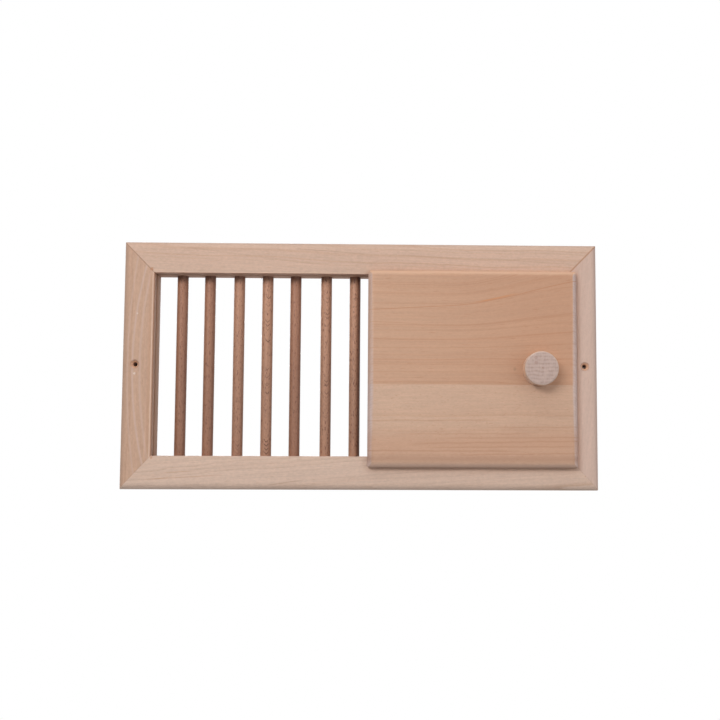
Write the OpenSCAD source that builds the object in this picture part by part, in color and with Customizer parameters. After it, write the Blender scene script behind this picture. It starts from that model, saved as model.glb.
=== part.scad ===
// Wooden wall ventilation valve: a mitred frame with upright dowels and a two-board shutter that slides sideways.
// Units are millimetres. X runs to the right, Z runs up, and the front looks along -Y.
// The origin is on the wall plane, midway between the two fixing screw holes.

/* [Frame] */
// Overall width of the frame
frame_w = 341.5; // [260:0.5:460]
// Overall height of the frame
frame_h = 177.5; // [130:0.5:260]
// Thickness of the frame, from the wall to its front face
frame_t = 21; // [20:0.5:32]
// Width of the two upright members
stile_w = 22.25; // [18:0.25:34]
// Width of the top member
top_rail_w = 22.75; // [18:0.25:34]
// Width of the bottom member
bottom_rail_w = 23.75; // [18:0.25:34]
// Radius worked along the outer front edge of the frame
frame_edge_r = 5; // [1:0.1:6]
// Radius of the frame's four corners, seen from the front
frame_corner_r = 1; // [0.3:0.1:4]

/* [Groove] */
// Thickness of the front lip that the shutter hooks over
lip_t = 5; // [3:0.1:7]
// Width of the groove behind the lip
groove_w = 5; // [4:0.1:7]
// Gap left between the shutter's tongue and the bottom of the groove
tongue_end_gap = 1; // [0.3:0.1:2]

/* [Dowels] */
// Diameter of each dowel
dowel_d = 8; // [5:0.1:10]
// Length of each dowel end that sits in a rail
dowel_seat = 8; // [5:0.5:12]
// Extra depth left under each dowel end
dowel_end_gap = 0.5; // [0.2:0.1:2]
// Glue gap around each dowel end, on the radius
dowel_glue_gap = 0.05; // [0.01:0.01:0.1]
// Chamfer on each dowel end
dowel_chamfer = 0.6; // [0.2:0.1:1.5]
// Distance from the left side of the opening to the first dowel's axis
dowel_first = 17.6; // [10:0.1:40]
// Distance from the last dowel's axis to the right side of the opening
dowel_last = 27.4; // [10:0.1:40]
// Share of the uneven hand spacing that is kept, 0 for an even row
dowel_stray_share = 1; // [0:0.1:1]

/* [Shutter] */
// Thickness of the shutter's front flange
flange_t = 7.2; // [5.5:0.1:10]
// Depth of the slot that runs around the shutter's edges
slot_depth = 8.1; // [5:0.1:10]
// Clearance on each face of the lip and of the tongue
face_gap = 0.4; // [0.2:0.05:1]
// Gap left under the shutter and at each end of its travel
rest_gap = 0.3; // [0.2:0.05:1]
// How far the open shutter stands short of its right-hand stop
stop_short = 1.6; // [0:0.1:5]
// How far the flange still covers the top lip when the shutter rests on the bottom one
top_lap = 2.3; // [1:0.1:6]
// Distance from the middle of the frame to the near edge of the open shutter
centre_clear = 5; // [0:0.5:30]
// Height of the lower of the two glued shutter boards
lower_board_h = 59; // [30:0.1:100]
// Radius worked along the shutter's front edges
shutter_edge_r = 5; // [1:0.1:5.5]
// Radius of the shutter's four corners, seen from the front
shutter_corner_r = 1.8; // [0.3:0.1:4]

/* [Knob] */
// Diameter of the turned knob
knob_d = 24; // [16:0.5:36]
// Height of the knob above the shutter's face
knob_h = 12; // [10:0.5:30]
// Radius of the knob's eased rim
knob_rim_r = 1; // [0.3:0.1:3]
// Distance from the knob's axis to the shutter's far edge
knob_inset = 27.7; // [18:0.1:60]
// Distance from the glue joint up to the knob's axis
knob_above_joint = 11; // [8:0.1:30]
// Width of the lathe's centre mark on the knob
centre_mark_d = 1.2; // [0.6:0.1:3]

/* [Knob screw] */
// Shank diameter of the wood screw
screw_d = 3.5; // [2.5:0.1:5]
// Head diameter of the wood screw
screw_head_d = 7; // [5:0.1:9]
// Wood left between the screw's point and the knob's face
knob_face_wood = 3; // [2:0.5:6]
// Length of the screw's point
point_len = 3; // [2:0.5:5]
// Clearance around the screw, on the radius
screw_gap = 0.05; // [0.01:0.01:0.1]
// Gap left ahead of the screw's point
pilot_end_gap = 0.5; // [0.2:0.1:1]
// Width of one arm of the cross recess
recess_arm = 1; // [0.6:0.1:1.6]
// Depth of the cross recess
recess_depth = 1.6; // [0.8:0.1:2]

/* [Wall fixing] */
// Diameter of the two fixing screw holes
hole_d = 3.2; // [3:0.1:6]
// Width of the countersink around each hole
sink_d = 6.6; // [5:0.1:12]
// Distance from the frame's outer side to each hole's axis
hole_inset = 9.5; // [7:0.1:12]

/* [Hidden] */
$fn = 72;

// Space that cutting shapes reach past a face
over = 1;
// Number of dowels in the row
dowel_count = 13;
// Sideways stray of each dowel from an even row, read from the photographed piece
dowel_stray = [0, -1, -0.6, -0.9, -1.4, 0, 0, 0, 0, 0, 0, 0, 0];

// Sides of the frame and of its opening
frame_x = frame_w / 2;
frame_z = frame_h / 2;
open_x = frame_x - stile_w;
open_top = frame_z - top_rail_w;
open_bottom = -frame_z + bottom_rail_w;
open_w = 2 * open_x;
open_h = open_top - open_bottom;
front_y = -frame_t;
groove_depth = slot_depth - rest_gap + tongue_end_gap;
back_t = frame_t - lip_t - groove_w;

// The dowel row, in the middle of the solid part behind the groove
dowel_y = -back_t / 2;
dowel_pitch = (open_w - dowel_first - dowel_last) / (dowel_count - 1);
dowel_hole_d = dowel_d + 2 * dowel_glue_gap;
dowel_hole_depth = dowel_seat + dowel_end_gap;
dowel_len = open_h + 2 * dowel_seat;

// The shutter in its photographed place, resting on the bottom lip
slot_w = lip_t + 2 * face_gap;
tongue_t = groove_w - 2 * face_gap;
board_t = flange_t + slot_w + tongue_t;
board_y = front_y - face_gap - flange_t;
board_back_y = board_y + board_t;
shutter_left = centre_clear;
shutter_right = open_x - rest_gap - stop_short + slot_depth;
shutter_bottom = open_bottom + rest_gap - slot_depth;
shutter_top = open_top + top_lap;
shutter_w = shutter_right - shutter_left;
shutter_h = shutter_top - shutter_bottom;
shutter_mid_x = (shutter_left + shutter_right) / 2;
shutter_mid_z = (shutter_bottom + shutter_top) / 2;
joint_z = shutter_bottom + lower_board_h;

// The knob and its screw
knob_x = shutter_right - knob_inset;
knob_z = joint_z + knob_above_joint;
screw_hole_d = screw_d + 2 * screw_gap;
head_t = (screw_head_d - screw_d) / 2;
pilot_depth = knob_h - knob_face_wood + pilot_end_gap;
screw_len = board_t + knob_h - knob_face_wood;

// Cross-section of every frame member: x from the outer side inwards, y from the front face back
module moulding_section(w) {
    difference() {
        square([w, frame_t]);
        translate([w - groove_depth, lip_t]) square([groove_depth + over, groove_w]);
        edge_section(frame_edge_r);
    }
}

// Waste that a rounding cutter takes from a corner at the origin
module edge_section(r) {
    difference() {
        translate([-over, -over]) square([r + over, r + over]);
        translate([r, r]) circle(r);
    }
}

// One length of moulding between two mitres, turned into place
module member(w, len, turn, at, mitre) {
    intersection() {
        translate(at) rotate(turn) linear_extrude(height = len, center = true) moulding_section(w);
        translate([0, over, 0]) rotate([90, 0, 0]) linear_extrude(height = frame_t + 2 * over) polygon(mitre);
        soft_block([-frame_x, -frame_z], [frame_w, frame_h], front_y, frame_t, frame_corner_r);
    }
}

// Block with four rounded corners seen from the front, reaching past its front and back
module soft_block(low, size, y, depth, r) {
    translate([low[0], y + depth + over, low[1]]) rotate([90, 0, 0])
    linear_extrude(height = depth + 2 * over) union() {
        translate([r, 0]) square([size[0] - 2 * r, size[1]]);
        translate([0, r]) square([size[0], size[1] - 2 * r]);
        for (x = [r, size[0] - r], z = [r, size[1] - r])
            translate([x, z]) circle(r);
    }
}

// A mitre line runs through the outer and the inner corner, so these points lie just past each of them
function corner_out(sx, sz) = [sx * frame_x, sz * frame_z] + 0.1 * (outer_pt(sx, sz) - inner_pt(sx, sz));
function corner_in(sx, sz) = inner_pt(sx, sz) + 0.1 * (inner_pt(sx, sz) - outer_pt(sx, sz));
function outer_pt(sx, sz) = [sx * frame_x, sz * frame_z];
function inner_pt(sx, sz) = [sx * open_x, sz > 0 ? open_top : open_bottom];

// Axis position of one dowel
function dowel_x(i) = -open_x + dowel_first + (i - 1) * dowel_pitch + dowel_stray_share * dowel_stray[i - 1];

// Blind holes for the dowel ends, bored from the opening into one rail
module dowel_holes(z, side) {
    for (i = [1 : dowel_count])
        translate([dowel_x(i), dowel_y, z + side * (dowel_hole_depth - over) / 2])
            cylinder(d = dowel_hole_d, h = dowel_hole_depth + over, center = true);
}

// One screw hole with its countersink, bored from the front face
module fixing_hole(x) {
    translate([x, front_y - over, 0]) rotate([-90, 0, 0]) cylinder(d = hole_d, h = frame_t + 2 * over);
    sink_t = (sink_d - hole_d) / 2;
    translate([x, front_y, 0]) rotate([-90, 0, 0]) cylinder(d1 = sink_d, d2 = hole_d, h = sink_t);
    translate([x, front_y - over, 0]) rotate([-90, 0, 0]) cylinder(d = sink_d, h = over);
}

module top_rail() {
    color([0.80, 0.67, 0.58])
    difference() {
        member(top_rail_w, frame_w, [0, 90, 0], [0, front_y, frame_z],
            [corner_out(-1, 1), corner_out(1, 1), corner_in(1, 1), corner_in(-1, 1)]);
        dowel_holes(open_top, 1);
    }
}

module bottom_rail() {
    color([0.79, 0.68, 0.60])
    difference() {
        member(bottom_rail_w, frame_w, [0, -90, 0], [0, front_y, -frame_z],
            [corner_out(-1, -1), corner_in(-1, -1), corner_in(1, -1), corner_out(1, -1)]);
        dowel_holes(open_bottom, -1);
    }
}

module left_stile() {
    color([0.76, 0.64, 0.56])
    difference() {
        member(stile_w, frame_h, [0, 0, 0], [-frame_x, front_y, 0],
            [corner_out(-1, -1), corner_out(-1, 1), corner_in(-1, 1), corner_in(-1, -1)]);
        fixing_hole(-frame_x + hole_inset);
    }
}

module right_stile() {
    color([0.78, 0.68, 0.62])
    difference() {
        member(stile_w, frame_h, [0, 180, 0], [frame_x, front_y, 0],
            [corner_out(1, -1), corner_in(1, -1), corner_in(1, 1), corner_out(1, 1)]);
        fixing_hole(frame_x - hole_inset);
    }
}

// One dowel with chamfered ends, glued into both rails
module dowel(i) {
    color([0.66, 0.49, 0.41])
    translate([dowel_x(i), dowel_y, open_bottom - dowel_seat])
    union() {
        cylinder(d1 = dowel_d - 2 * dowel_chamfer, d2 = dowel_d, h = dowel_chamfer);
        translate([0, 0, dowel_chamfer]) cylinder(d = dowel_d, h = dowel_len - 2 * dowel_chamfer);
        translate([0, 0, dowel_len - dowel_chamfer])
            cylinder(d1 = dowel_d, d2 = dowel_d - 2 * dowel_chamfer, h = dowel_chamfer);
    }
}

module dowel_1() { dowel(1); }
module dowel_2() { dowel(2); }
module dowel_3() { dowel(3); }
module dowel_4() { dowel(4); }
module dowel_5() { dowel(5); }
module dowel_6() { dowel(6); }
module dowel_7() { dowel(7); }
module dowel_8() { dowel(8); }
module dowel_9() { dowel(9); }
module dowel_10() { dowel(10); }
module dowel_11() { dowel(11); }
module dowel_12() { dowel(12); }
module dowel_13() { dowel(13); }

// Whole shutter: a board with rounded front edges and a slot milled around all four edges
module shutter_blank() {
    difference() {
        intersection() {
            translate([shutter_left, board_y, shutter_bottom]) cube([shutter_w, board_t, shutter_h]);
            soft_block([shutter_left, shutter_bottom], [shutter_w, shutter_h], board_y, board_t, shutter_corner_r);
        }
        difference() {
            translate([shutter_left - over, board_y + flange_t, shutter_bottom - over])
                cube([shutter_w + 2 * over, slot_w, shutter_h + 2 * over]);
            translate([shutter_left + slot_depth, board_y + flange_t - over, shutter_bottom + slot_depth])
                cube([shutter_w - 2 * slot_depth, slot_w + 2 * over, shutter_h - 2 * slot_depth]);
        }
        shutter_edge([shutter_mid_x, board_y, shutter_top], [0, 90, 0], shutter_w);
        shutter_edge([shutter_mid_x, board_y, shutter_bottom], [0, -90, 0], shutter_w);
        shutter_edge([shutter_left, board_y, shutter_mid_z], [0, 0, 0], shutter_h);
        shutter_edge([shutter_right, board_y, shutter_mid_z], [0, 180, 0], shutter_h);
    }
}

module shutter_edge(at, turn, len) {
    translate(at) rotate(turn) linear_extrude(height = len + 2 * over, center = true) edge_section(shutter_edge_r);
}

// Part of the shutter between two heights
module shutter_band(z0, z1) {
    intersection() {
        shutter_blank();
        translate([shutter_left - over, board_y - over, z0]) cube([shutter_w + 2 * over, board_t + 2 * over, z1 - z0]);
    }
}

module shutter_upper_board() {
    color([0.76, 0.61, 0.51])
    difference() {
        shutter_band(joint_z, shutter_top + over);
        translate([knob_x, board_y - over, knob_z]) rotate([-90, 0, 0])
            cylinder(d = screw_hole_d, h = board_t + 2 * over);
        translate([knob_x, board_back_y - head_t, knob_z]) rotate([-90, 0, 0])
            cylinder(d1 = screw_hole_d, d2 = screw_head_d + 2 * screw_gap, h = head_t);
        translate([knob_x, board_back_y, knob_z]) rotate([-90, 0, 0])
            cylinder(d = screw_head_d + 2 * screw_gap, h = over);
    }
}

module shutter_lower_board() {
    color([0.77, 0.65, 0.55])
    shutter_band(shutter_bottom - over, joint_z);
}

// Turned knob, drawn on its own axis with the foot at the origin
module knob_body() {
    r = knob_d / 2;
    difference() {
        rotate_extrude() union() {
            square([r, knob_h - knob_rim_r]);
            square([r - knob_rim_r, knob_h]);
            translate([r - knob_rim_r, knob_h - knob_rim_r]) intersection() {
                circle(knob_rim_r);
                square(knob_rim_r);
            }
        }
        translate([0, 0, -over]) cylinder(d = screw_hole_d, h = pilot_depth + over);
        translate([0, 0, knob_h - centre_mark_d / 2]) cylinder(d1 = 0, d2 = centre_mark_d, h = centre_mark_d / 2);
    }
}

module knob() {
    color([0.74, 0.66, 0.60])
    translate([knob_x, board_y, knob_z]) rotate([90, 0, 0]) knob_body();
}

// Countersunk wood screw: its head at the origin, its point up
module screw_body() {
    shank_len = screw_len - head_t - point_len;
    union() {
        difference() {
            cylinder(d1 = screw_head_d, d2 = screw_d, h = head_t);
            translate([-screw_d / 2, -recess_arm / 2, -over]) cube([screw_d, recess_arm, recess_depth + over]);
            translate([-recess_arm / 2, -screw_d / 2, -over]) cube([recess_arm, screw_d, recess_depth + over]);
        }
        translate([0, 0, head_t]) cylinder(d = screw_d, h = shank_len);
        translate([0, 0, head_t + shank_len]) cylinder(d1 = screw_d, d2 = 0, h = point_len);
    }
}

module knob_screw() {
    color([0.72, 0.72, 0.74])
    translate([knob_x, board_back_y, knob_z]) rotate([90, 0, 0]) screw_body();
}

top_rail();
bottom_rail();
left_stile();
right_stile();
dowel_1();
dowel_2();
dowel_3();
dowel_4();
dowel_5();
dowel_6();
dowel_7();
dowel_8();
dowel_9();
dowel_10();
dowel_11();
dowel_12();
dowel_13();
shutter_upper_board();
shutter_lower_board();
knob();
knob_screw();
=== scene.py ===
"""Looks of a wooden wall ventilation valve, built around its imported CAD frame.

Lengths in the classes are millimetres, but for the studio's, which are metres. Meshes are
metres, in the CAD's own frame: X runs to the right, Z runs up and the front looks along -Y.
"""

import logging
import math
from collections.abc import Iterable, Iterator, Sequence
from contextlib import contextmanager
from dataclasses import dataclass, replace
from enum import Enum
from functools import cache, partialmethod
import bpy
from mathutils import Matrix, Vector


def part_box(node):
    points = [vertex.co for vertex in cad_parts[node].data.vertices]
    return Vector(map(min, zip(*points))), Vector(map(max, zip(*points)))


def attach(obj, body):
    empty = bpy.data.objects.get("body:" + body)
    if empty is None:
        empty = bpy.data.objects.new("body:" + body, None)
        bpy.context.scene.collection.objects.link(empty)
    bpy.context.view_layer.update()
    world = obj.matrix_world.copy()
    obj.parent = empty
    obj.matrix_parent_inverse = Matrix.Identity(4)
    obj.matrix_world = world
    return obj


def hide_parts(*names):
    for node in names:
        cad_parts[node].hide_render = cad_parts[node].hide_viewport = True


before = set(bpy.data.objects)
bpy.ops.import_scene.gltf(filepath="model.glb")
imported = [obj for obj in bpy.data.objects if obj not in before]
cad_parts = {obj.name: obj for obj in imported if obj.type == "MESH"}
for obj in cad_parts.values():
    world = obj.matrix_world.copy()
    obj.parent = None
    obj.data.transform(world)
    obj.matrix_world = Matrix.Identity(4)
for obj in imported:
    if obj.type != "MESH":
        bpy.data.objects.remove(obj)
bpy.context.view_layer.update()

from types import SimpleNamespace
from typing import Any

import bmesh
import bpy
from mathutils import Euler, Matrix, Vector

log = logging.getLogger("valve")

MM = 0.001
PER_MM = (1 / MM,) * 3
SMOOTH_ANGLE = math.radians(32)
MERGE_DISTANCE = 1e-6
MERGE_ANGLE = math.radians(0.5)
QUARTER_TURN = math.pi / 2
BIG_ROUND = 2.0
BIG_ROUND_STEPS = 4
TOUCHING = 1e-5
NEARLY_ZERO = 1e-6
ORIGIN = (0.0, 0.0, 0.0)
WHITE = (1.0, 1.0, 1.0, 1.0)
DUST = (0.72, 0.66, 0.6, 1.0)

Colour = tuple[float, float, float, float]
Point2 = tuple[float, float]
Point3 = tuple[float, float, float]


def paint(red: int, green: int, blue: int) -> Colour:
    """Turns a colour written in screen values into the linear values that shaders take.

    Args:
        red: Red from 0 to 255.
        green: Green from 0 to 255.
        blue: Blue from 0 to 255.

    Returns:
        The colour with its alpha.
    """
    shares = [value / 255 for value in (red, green, blue)]
    return (*(s / 12.92 if s <= 0.04045 else ((s + 0.055) / 1.055) ** 2.4 for s in shares), 1.0)


class Fibre(Enum):
    """The direction in which the fibres of a piece run, as the turn that brings it onto X."""

    LEVEL = (0.0, 0.0, 0.0)
    UPRIGHT = (0.0, QUARTER_TURN, 0.0)
    OUTWARD = (0.0, 0.0, -QUARTER_TURN)


# ---------------------------------------------------------------- node trees


class Wire:
    """A value that runs through a node tree and takes the arithmetic of plain numbers."""

    def __init__(self, bench: "Bench", socket: bpy.types.NodeSocket) -> None:
        """Keeps the value's tree and socket."""
        self.bench, self.socket = bench, socket

    def op(self, operation: str, *others: Any) -> "Wire":
        """Returns the result of an operation on this value and others."""
        return self.bench.work(operation, self, *others)

    __add__ = partialmethod(op, "ADD")
    __sub__ = partialmethod(op, "SUBTRACT")
    __mul__ = partialmethod(op, "MULTIPLY")
    __truediv__ = partialmethod(op, "DIVIDE")
    __gt__ = partialmethod(op, "GREATER_THAN")
    __lt__ = partialmethod(op, "LESS_THAN")
    __abs__ = partialmethod(op, "ABSOLUTE")

    def __rsub__(self, other: float) -> "Wire":
        """Takes this value from a plain number."""
        return self.bench.work("SUBTRACT", other, self)

    @property
    def parts(self) -> tuple["Wire", "Wire", "Wire"]:
        """The three parts of a vector."""
        node = self.bench.put("ShaderNodeSeparateXYZ", {0: self}).socket.node
        return tuple(Wire(self.bench, socket) for socket in node.outputs)

    def ease(self, low: Any, high: Any) -> "Wire":
        """Returns a soft step that is 0 at low and 1 at high."""
        feeds = {"Value": self, "From Min": low, "From Max": high}
        return self.bench.put("ShaderNodeMapRange", feeds, interpolation_type="SMOOTHSTEP")

    def noise(self, scale: float = 1.0, detail: float = 2.0, roughness: float = 0.5) -> "Wire":
        """Returns smooth noise from 0 to 1 at this place."""
        feeds = {"Vector": self, "Scale": scale, "Detail": detail, "Roughness": roughness}
        return self.bench.put("ShaderNodeTexNoise", feeds)

    def chance(self) -> "Wire":
        """Returns a random number from 0 to 1 that belongs to this number."""
        return self.bench.put("ShaderNodeTexWhiteNoise", {"W": self}, noise_dimensions="1D")


Made = dict[str, Wire]


class Bench:
    """A node tree, with short calls that place nodes and join them."""

    def __init__(self, tree: bpy.types.NodeTree) -> None:
        """Keeps the tree that the calls fill."""
        self.tree = tree

    @classmethod
    def cleared(cls, owner: bpy.types.Material | bpy.types.World) -> "Bench":
        """Empties a material's or a world's node tree.

        Args:
            owner: The material or world.

        Returns:
            Its bench.
        """
        owner.use_nodes = True
        owner.node_tree.nodes.clear()
        return cls(owner.node_tree)

    def put(self, kind: str, feeds: dict[Any, Any] | None = None, out: int | str = 0, **settings: Any) -> Wire | None:
        """Places one node.

        Args:
            kind: The node's type.
            feeds: Wires or plain values by input name or number.
            out: Name or number of the output to return.
            settings: The node's own options.

        Returns:
            The chosen output, or nothing where the node has none.
        """
        node = self.tree.nodes.new(kind)
        for name, value in settings.items():
            setattr(node, name, value)
        for key, value in (feeds or {}).items():
            if isinstance(value, Wire):
                self.tree.links.new(value.socket, node.inputs[key])
            else:
                node.inputs[key].default_value = value
        return Wire(self, node.outputs[out]) if node.outputs else None

    def work(self, operation: str, *feeds: Any, clamp: bool = False) -> Wire:
        """Places an operation: on vectors where any feed is a vector, and on numbers elsewhere.

        Args:
            operation: The operation's name.
            feeds: Wires or plain values, in order.
            clamp: Whether a number is kept between 0 and 1.

        Returns:
            The result.
        """
        kinds = {feed.socket.type if isinstance(feed, Wire) else type(feed) for feed in feeds}
        if kinds & {"VECTOR", tuple}:
            out = "Value" if operation in {"LENGTH", "DISTANCE"} else "Vector"
            return self.put("ShaderNodeVectorMath", dict(enumerate(feeds)), out, operation=operation)
        return self.put("ShaderNodeMath", dict(enumerate(feeds)), operation=operation, use_clamp=clamp)

    def attribute(self, name: str) -> tuple[Wire, Wire]:
        """Returns a stored attribute as a vector and as a number."""
        outputs = self.put("ShaderNodeAttribute", attribute_name=name).socket.node.outputs
        return Wire(self, outputs["Vector"]), Wire(self, outputs["Fac"])

    def place(self, fibre: Fibre, middle: Point3 = ORIGIN) -> Wire:
        """Places the coordinates of a piece.

        Args:
            fibre: The direction of its fibres.
            middle: Its own middle in millimetres.

        Returns:
            The place in millimetres from that middle, with the fibres along X.
        """
        turn = Euler(fibre.value)
        shift = -(turn.to_matrix() @ Vector(middle))
        feeds = {"Vector": self.put("ShaderNodeTexCoord", out="Object"), "Location": shift, "Rotation": turn}
        return self.put("ShaderNodeMapping", feeds | {"Scale": PER_MM})

    def facing(self, fibre: Fibre) -> Wire:
        """Returns the direction of a face, with the fibres along X."""
        feeds = {"Vector": self.put("ShaderNodeTexCoord", out="Normal"), "Rotation": Euler(fibre.value)}
        return self.put("ShaderNodeMapping", feeds, vector_type="NORMAL")

    def join(self, x: Any, y: Any, z: Any) -> Wire:
        """Returns a vector made of three numbers."""
        return self.put("ShaderNodeCombineXYZ", {0: x, 1: y, 2: z})

    def blend(self, share: Any, first: Any, second: Any, way: str = "MIX") -> Wire:
        """Returns two colours mixed by a share."""
        return self.put("ShaderNodeMix", {0: share, 6: first, 7: second}, 2, data_type="RGBA", blend_type=way)

    def shade(self, colour: Wire, level: Wire) -> Wire:
        """Returns a colour made lighter or darker by a factor."""
        return self.blend(1.0, colour, level, "MULTIPLY")

    def named(self, sockets: Iterable[bpy.types.NodeSocket]) -> SimpleNamespace:
        """Returns a node's named sockets as wires."""
        return SimpleNamespace(**{socket.name: Wire(self, socket) for socket in sockets if socket.name})

    def effect(self, effect: type["Effect"], *known: dict[str, Any], **own: Any) -> SimpleNamespace:
        """Places a shared effect.

        Args:
            effect: The effect's class.
            known: Values by name, of which the effect takes those that it has an input for.
            own: Further values by name, which go before the known ones.

        Returns:
            The effect's outputs by name.
        """
        feeds = {name: value for source in (*known, own) for name, value in source.items() if name in effect.inputs}
        return self.named(self.put("ShaderNodeGroup", feeds, node_tree=effect.group()).socket.node.outputs)

    def solid(self, finish: "Finish", colour: Wire, rough: Wire, height: Wire) -> Wire:
        """Places a bumped Principled shader.

        Args:
            finish: The finish, which gives the relief, its depth, the metal share and the shine.
            colour: Base colour.
            rough: Roughness.
            height: Height of the relief, from 0 to about 1.

        Returns:
            The shader.
        """
        bump = self.put("ShaderNodeBump", {"Height": height, "Strength": finish.relief, "Distance": finish.depth * MM})
        feeds = {"Metallic": finish.metal, "Specular IOR Level": finish.shine}
        return self.put("ShaderNodeBsdfPrincipled", feeds | {"Base Color": colour, "Roughness": rough, "Normal": bump})


class Effect:
    """A shader effect that several finishes share, kept as one node group."""

    inputs: dict[str, Any] = {}

    @staticmethod
    def wire(bench: Bench, given: SimpleNamespace) -> Made:
        """Fills the group.

        Args:
            bench: The group's own tree.
            given: The group's inputs by name.

        Returns:
            What leaves the group, by name.
        """
        raise NotImplementedError

    @classmethod
    @cache
    def group(cls) -> bpy.types.NodeTree:
        """Builds the group the first time and finds the same one after that.

        Returns:
            The group.
        """
        tree = bpy.data.node_groups.new(cls.__name__, "ShaderNodeTree")
        for name, value in cls.inputs.items():
            kind = ("Color" if len(value) == 4 else "Vector") if isinstance(value, tuple) else "Float"
            socket = tree.interface.new_socket(name=name, in_out="INPUT", socket_type=f"NodeSocket{kind}")
            socket.default_value = value
        bench = Bench(tree)
        made = cls.wire(bench, bench.named(bench.put("NodeGroupInput").socket.node.outputs))
        kinds = {"VALUE": "Float", "VECTOR": "Vector", "RGBA": "Color"}
        for name, wire in made.items():
            kind = kinds[wire.socket.type]
            tree.interface.new_socket(name=name, in_out="OUTPUT", socket_type=f"NodeSocket{kind}")
        bench.put("NodeGroupOutput", made)
        return tree


class GrowthRings(Effect):
    """Yearly rings of the log a piece was sawn from, as they meet its surface."""

    inputs = dict(
        place=ORIGIN, pith=(0.0, 40.0, 60.0), lean=ORIGIN, rise=0.0, rise_start=0.0, rise_end=100.0,
        wander=2.0, gap=3.0, seed=0.0,
    )

    @staticmethod
    def wire(bench: Bench, given: SimpleNamespace) -> Made:
        """Measures the distance from the pith and cuts it into uneven rings.

        Args:
            bench: The group's own tree.
            given: The group's inputs by name.

        Returns:
            What leaves the group, by name.
        """
        x, y, z = given.place.parts
        _, lean_y, lean_z = given.lean.parts
        _, pith_y, pith_z = given.pith.parts
        spread = x.ease(given.rise_start, given.rise_end) * given.rise + 1.0
        far = (given.place * (0.012, 0.02, 0.02) + bench.join(given.seed, 3.1, 7.7)).noise(1.0, 1.0)
        near = (given.place * (0.05, 0.2, 0.2) + bench.join(given.seed, 9.3, 1.7)).noise()
        wave = ((near - 0.5) * 0.3 + (far - 0.5)) * given.wander
        up = x * lean_z + z / spread
        reach = bench.join(0.0, x * lean_y + y - pith_y, up - pith_z).op("LENGTH") + wave
        even = reach / given.gap
        feeds = {"W": even * 0.45 + given.seed, "Scale": 1.0, "Detail": 1.0}
        rings = bench.put("ShaderNodeTexNoise", feeds, noise_dimensions="1D") * 2.2 + even
        share = rings.op("FRACT")
        chance = (rings.op("FLOOR") + given.seed).chance()
        late = share.ease(0.45, 0.92) * share.ease(1.0, 0.94)
        return dict(late=late * (chance * chance * 0.9 + 0.1), tone=chance, flow=bench.join(x, y, up))


class Fibres(Effect):
    """Fine lines, broad streaks and short dark pores that run with the grain."""

    inputs = dict(place=ORIGIN, reach=40.0, fineness=2.0, seed=0.0)

    @staticmethod
    def wire(bench: Bench, given: SimpleNamespace) -> Made:
        """Stretches noise along the grain at five sizes.

        Args:
            bench: The group's own tree.
            given: The group's inputs by name.

        Returns:
            What leaves the group, by name.
        """
        squeeze = given.fineness / given.reach
        fine = given.place * bench.join(squeeze, given.fineness, given.fineness) + given.seed
        return dict(
            hair=fine.noise(1.0, 3.0, 0.65),
            streak=(fine * (0.3, 0.2, 0.2)).noise(1.0, 2.0, 0.55),
            pore=(fine * (5.0, 1.6, 1.6)).noise(1.0, 1.0).ease(0.62, 0.78),
            cloud=(given.place * (0.012, 0.03, 0.03) + given.seed).noise(),
            speck=(given.place * (0.45, 0.9, 0.9) + given.seed).noise(1.0, 2.0, 0.65),
        )


class EndGrain(Effect):
    """Where a face is cut across the fibres: its mask, and the rays and ring bars that cross there."""

    inputs = dict(place=ORIGIN, normal=(0.0, 0.0, 1.0), ray_gap=1.0, bar_gap=2.0, slant=0.0, seed=0.0)

    @staticmethod
    def wire(bench: Bench, given: SimpleNamespace) -> Made:
        """Finds the cut faces from their direction and weaves upright rays with broken level bars on them.

        Args:
            bench: The group's own tree.
            given: The group's inputs by name.

        Returns:
            What leaves the group, by name.
        """
        along, _, _ = given.normal.parts
        x, y, z = given.place.parts
        level = y * given.slant + z
        leaning = bench.join(x, y, level)
        scale = bench.work("DIVIDE", 1.0, given.ray_gap)
        spread = leaning * bench.join(0.05, scale, scale) + bench.join(given.seed, 0.0, 0.0)
        upright = (spread * (1.0, 1.0, 0.16)).noise(1.0, 2.0, 0.6)
        bend = (leaning * (0.05, 0.2, 0.2)).noise(1.0, 1.0)
        row = bend * 0.7 + level / given.bar_gap
        pieces = bench.join(y * 0.32, row.op("FLOOR") * 3.7, given.seed).noise()
        bars = abs(row.op("FRACT") - 0.5).ease(0.42, 0.0) * pieces.ease(0.22, 0.62)
        rays = (upright.ease(0.42, 0.66) * 0.5 + bars) * 0.75
        return dict(end=abs(along).ease(0.05, 0.4), rays=rays, mottle=spread.noise(0.35))


class BeechFigure(Effect):
    """What a thin beech rod shows: short dark flecks all over, and nested chevrons down its front."""

    inputs = dict(place=ORIGIN, seed=0.0)

    @staticmethod
    def wire(bench: Bench, given: SimpleNamespace) -> Made:
        """Stretches noise into flecks and folds thin rings into chevrons.

        Args:
            bench: The group's own tree.
            given: The group's inputs by name.

        Returns:
            What leaves the group, by name.
        """
        x, _, z = given.place.parts
        fleck = (given.place * (0.4, 1.1, 1.1) + bench.join(given.seed, 0.0, given.seed)).noise(1.0, 1.0)
        drift = bench.join(x * 0.05 + given.seed, 0.0, 0.0).noise(1.0, 1.0)
        across = abs(z + drift * 1.6)
        row = (across * -1.1 + x) / 2.9
        share = row.op("FRACT")
        patch = bench.join(x * 0.035 + given.seed, 5.0, 0.0).noise(1.0, 1.0)
        chance = (row.op("FLOOR") + given.seed).chance().ease(0.3, 0.9) * patch.ease(0.4, 0.6)
        line = share.ease(0.0, 0.12) * share.ease(0.5, 0.2)
        return dict(fleck=fleck.ease(0.56, 0.74), chevron=line * chance * across.ease(2.2, 0.6))


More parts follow.
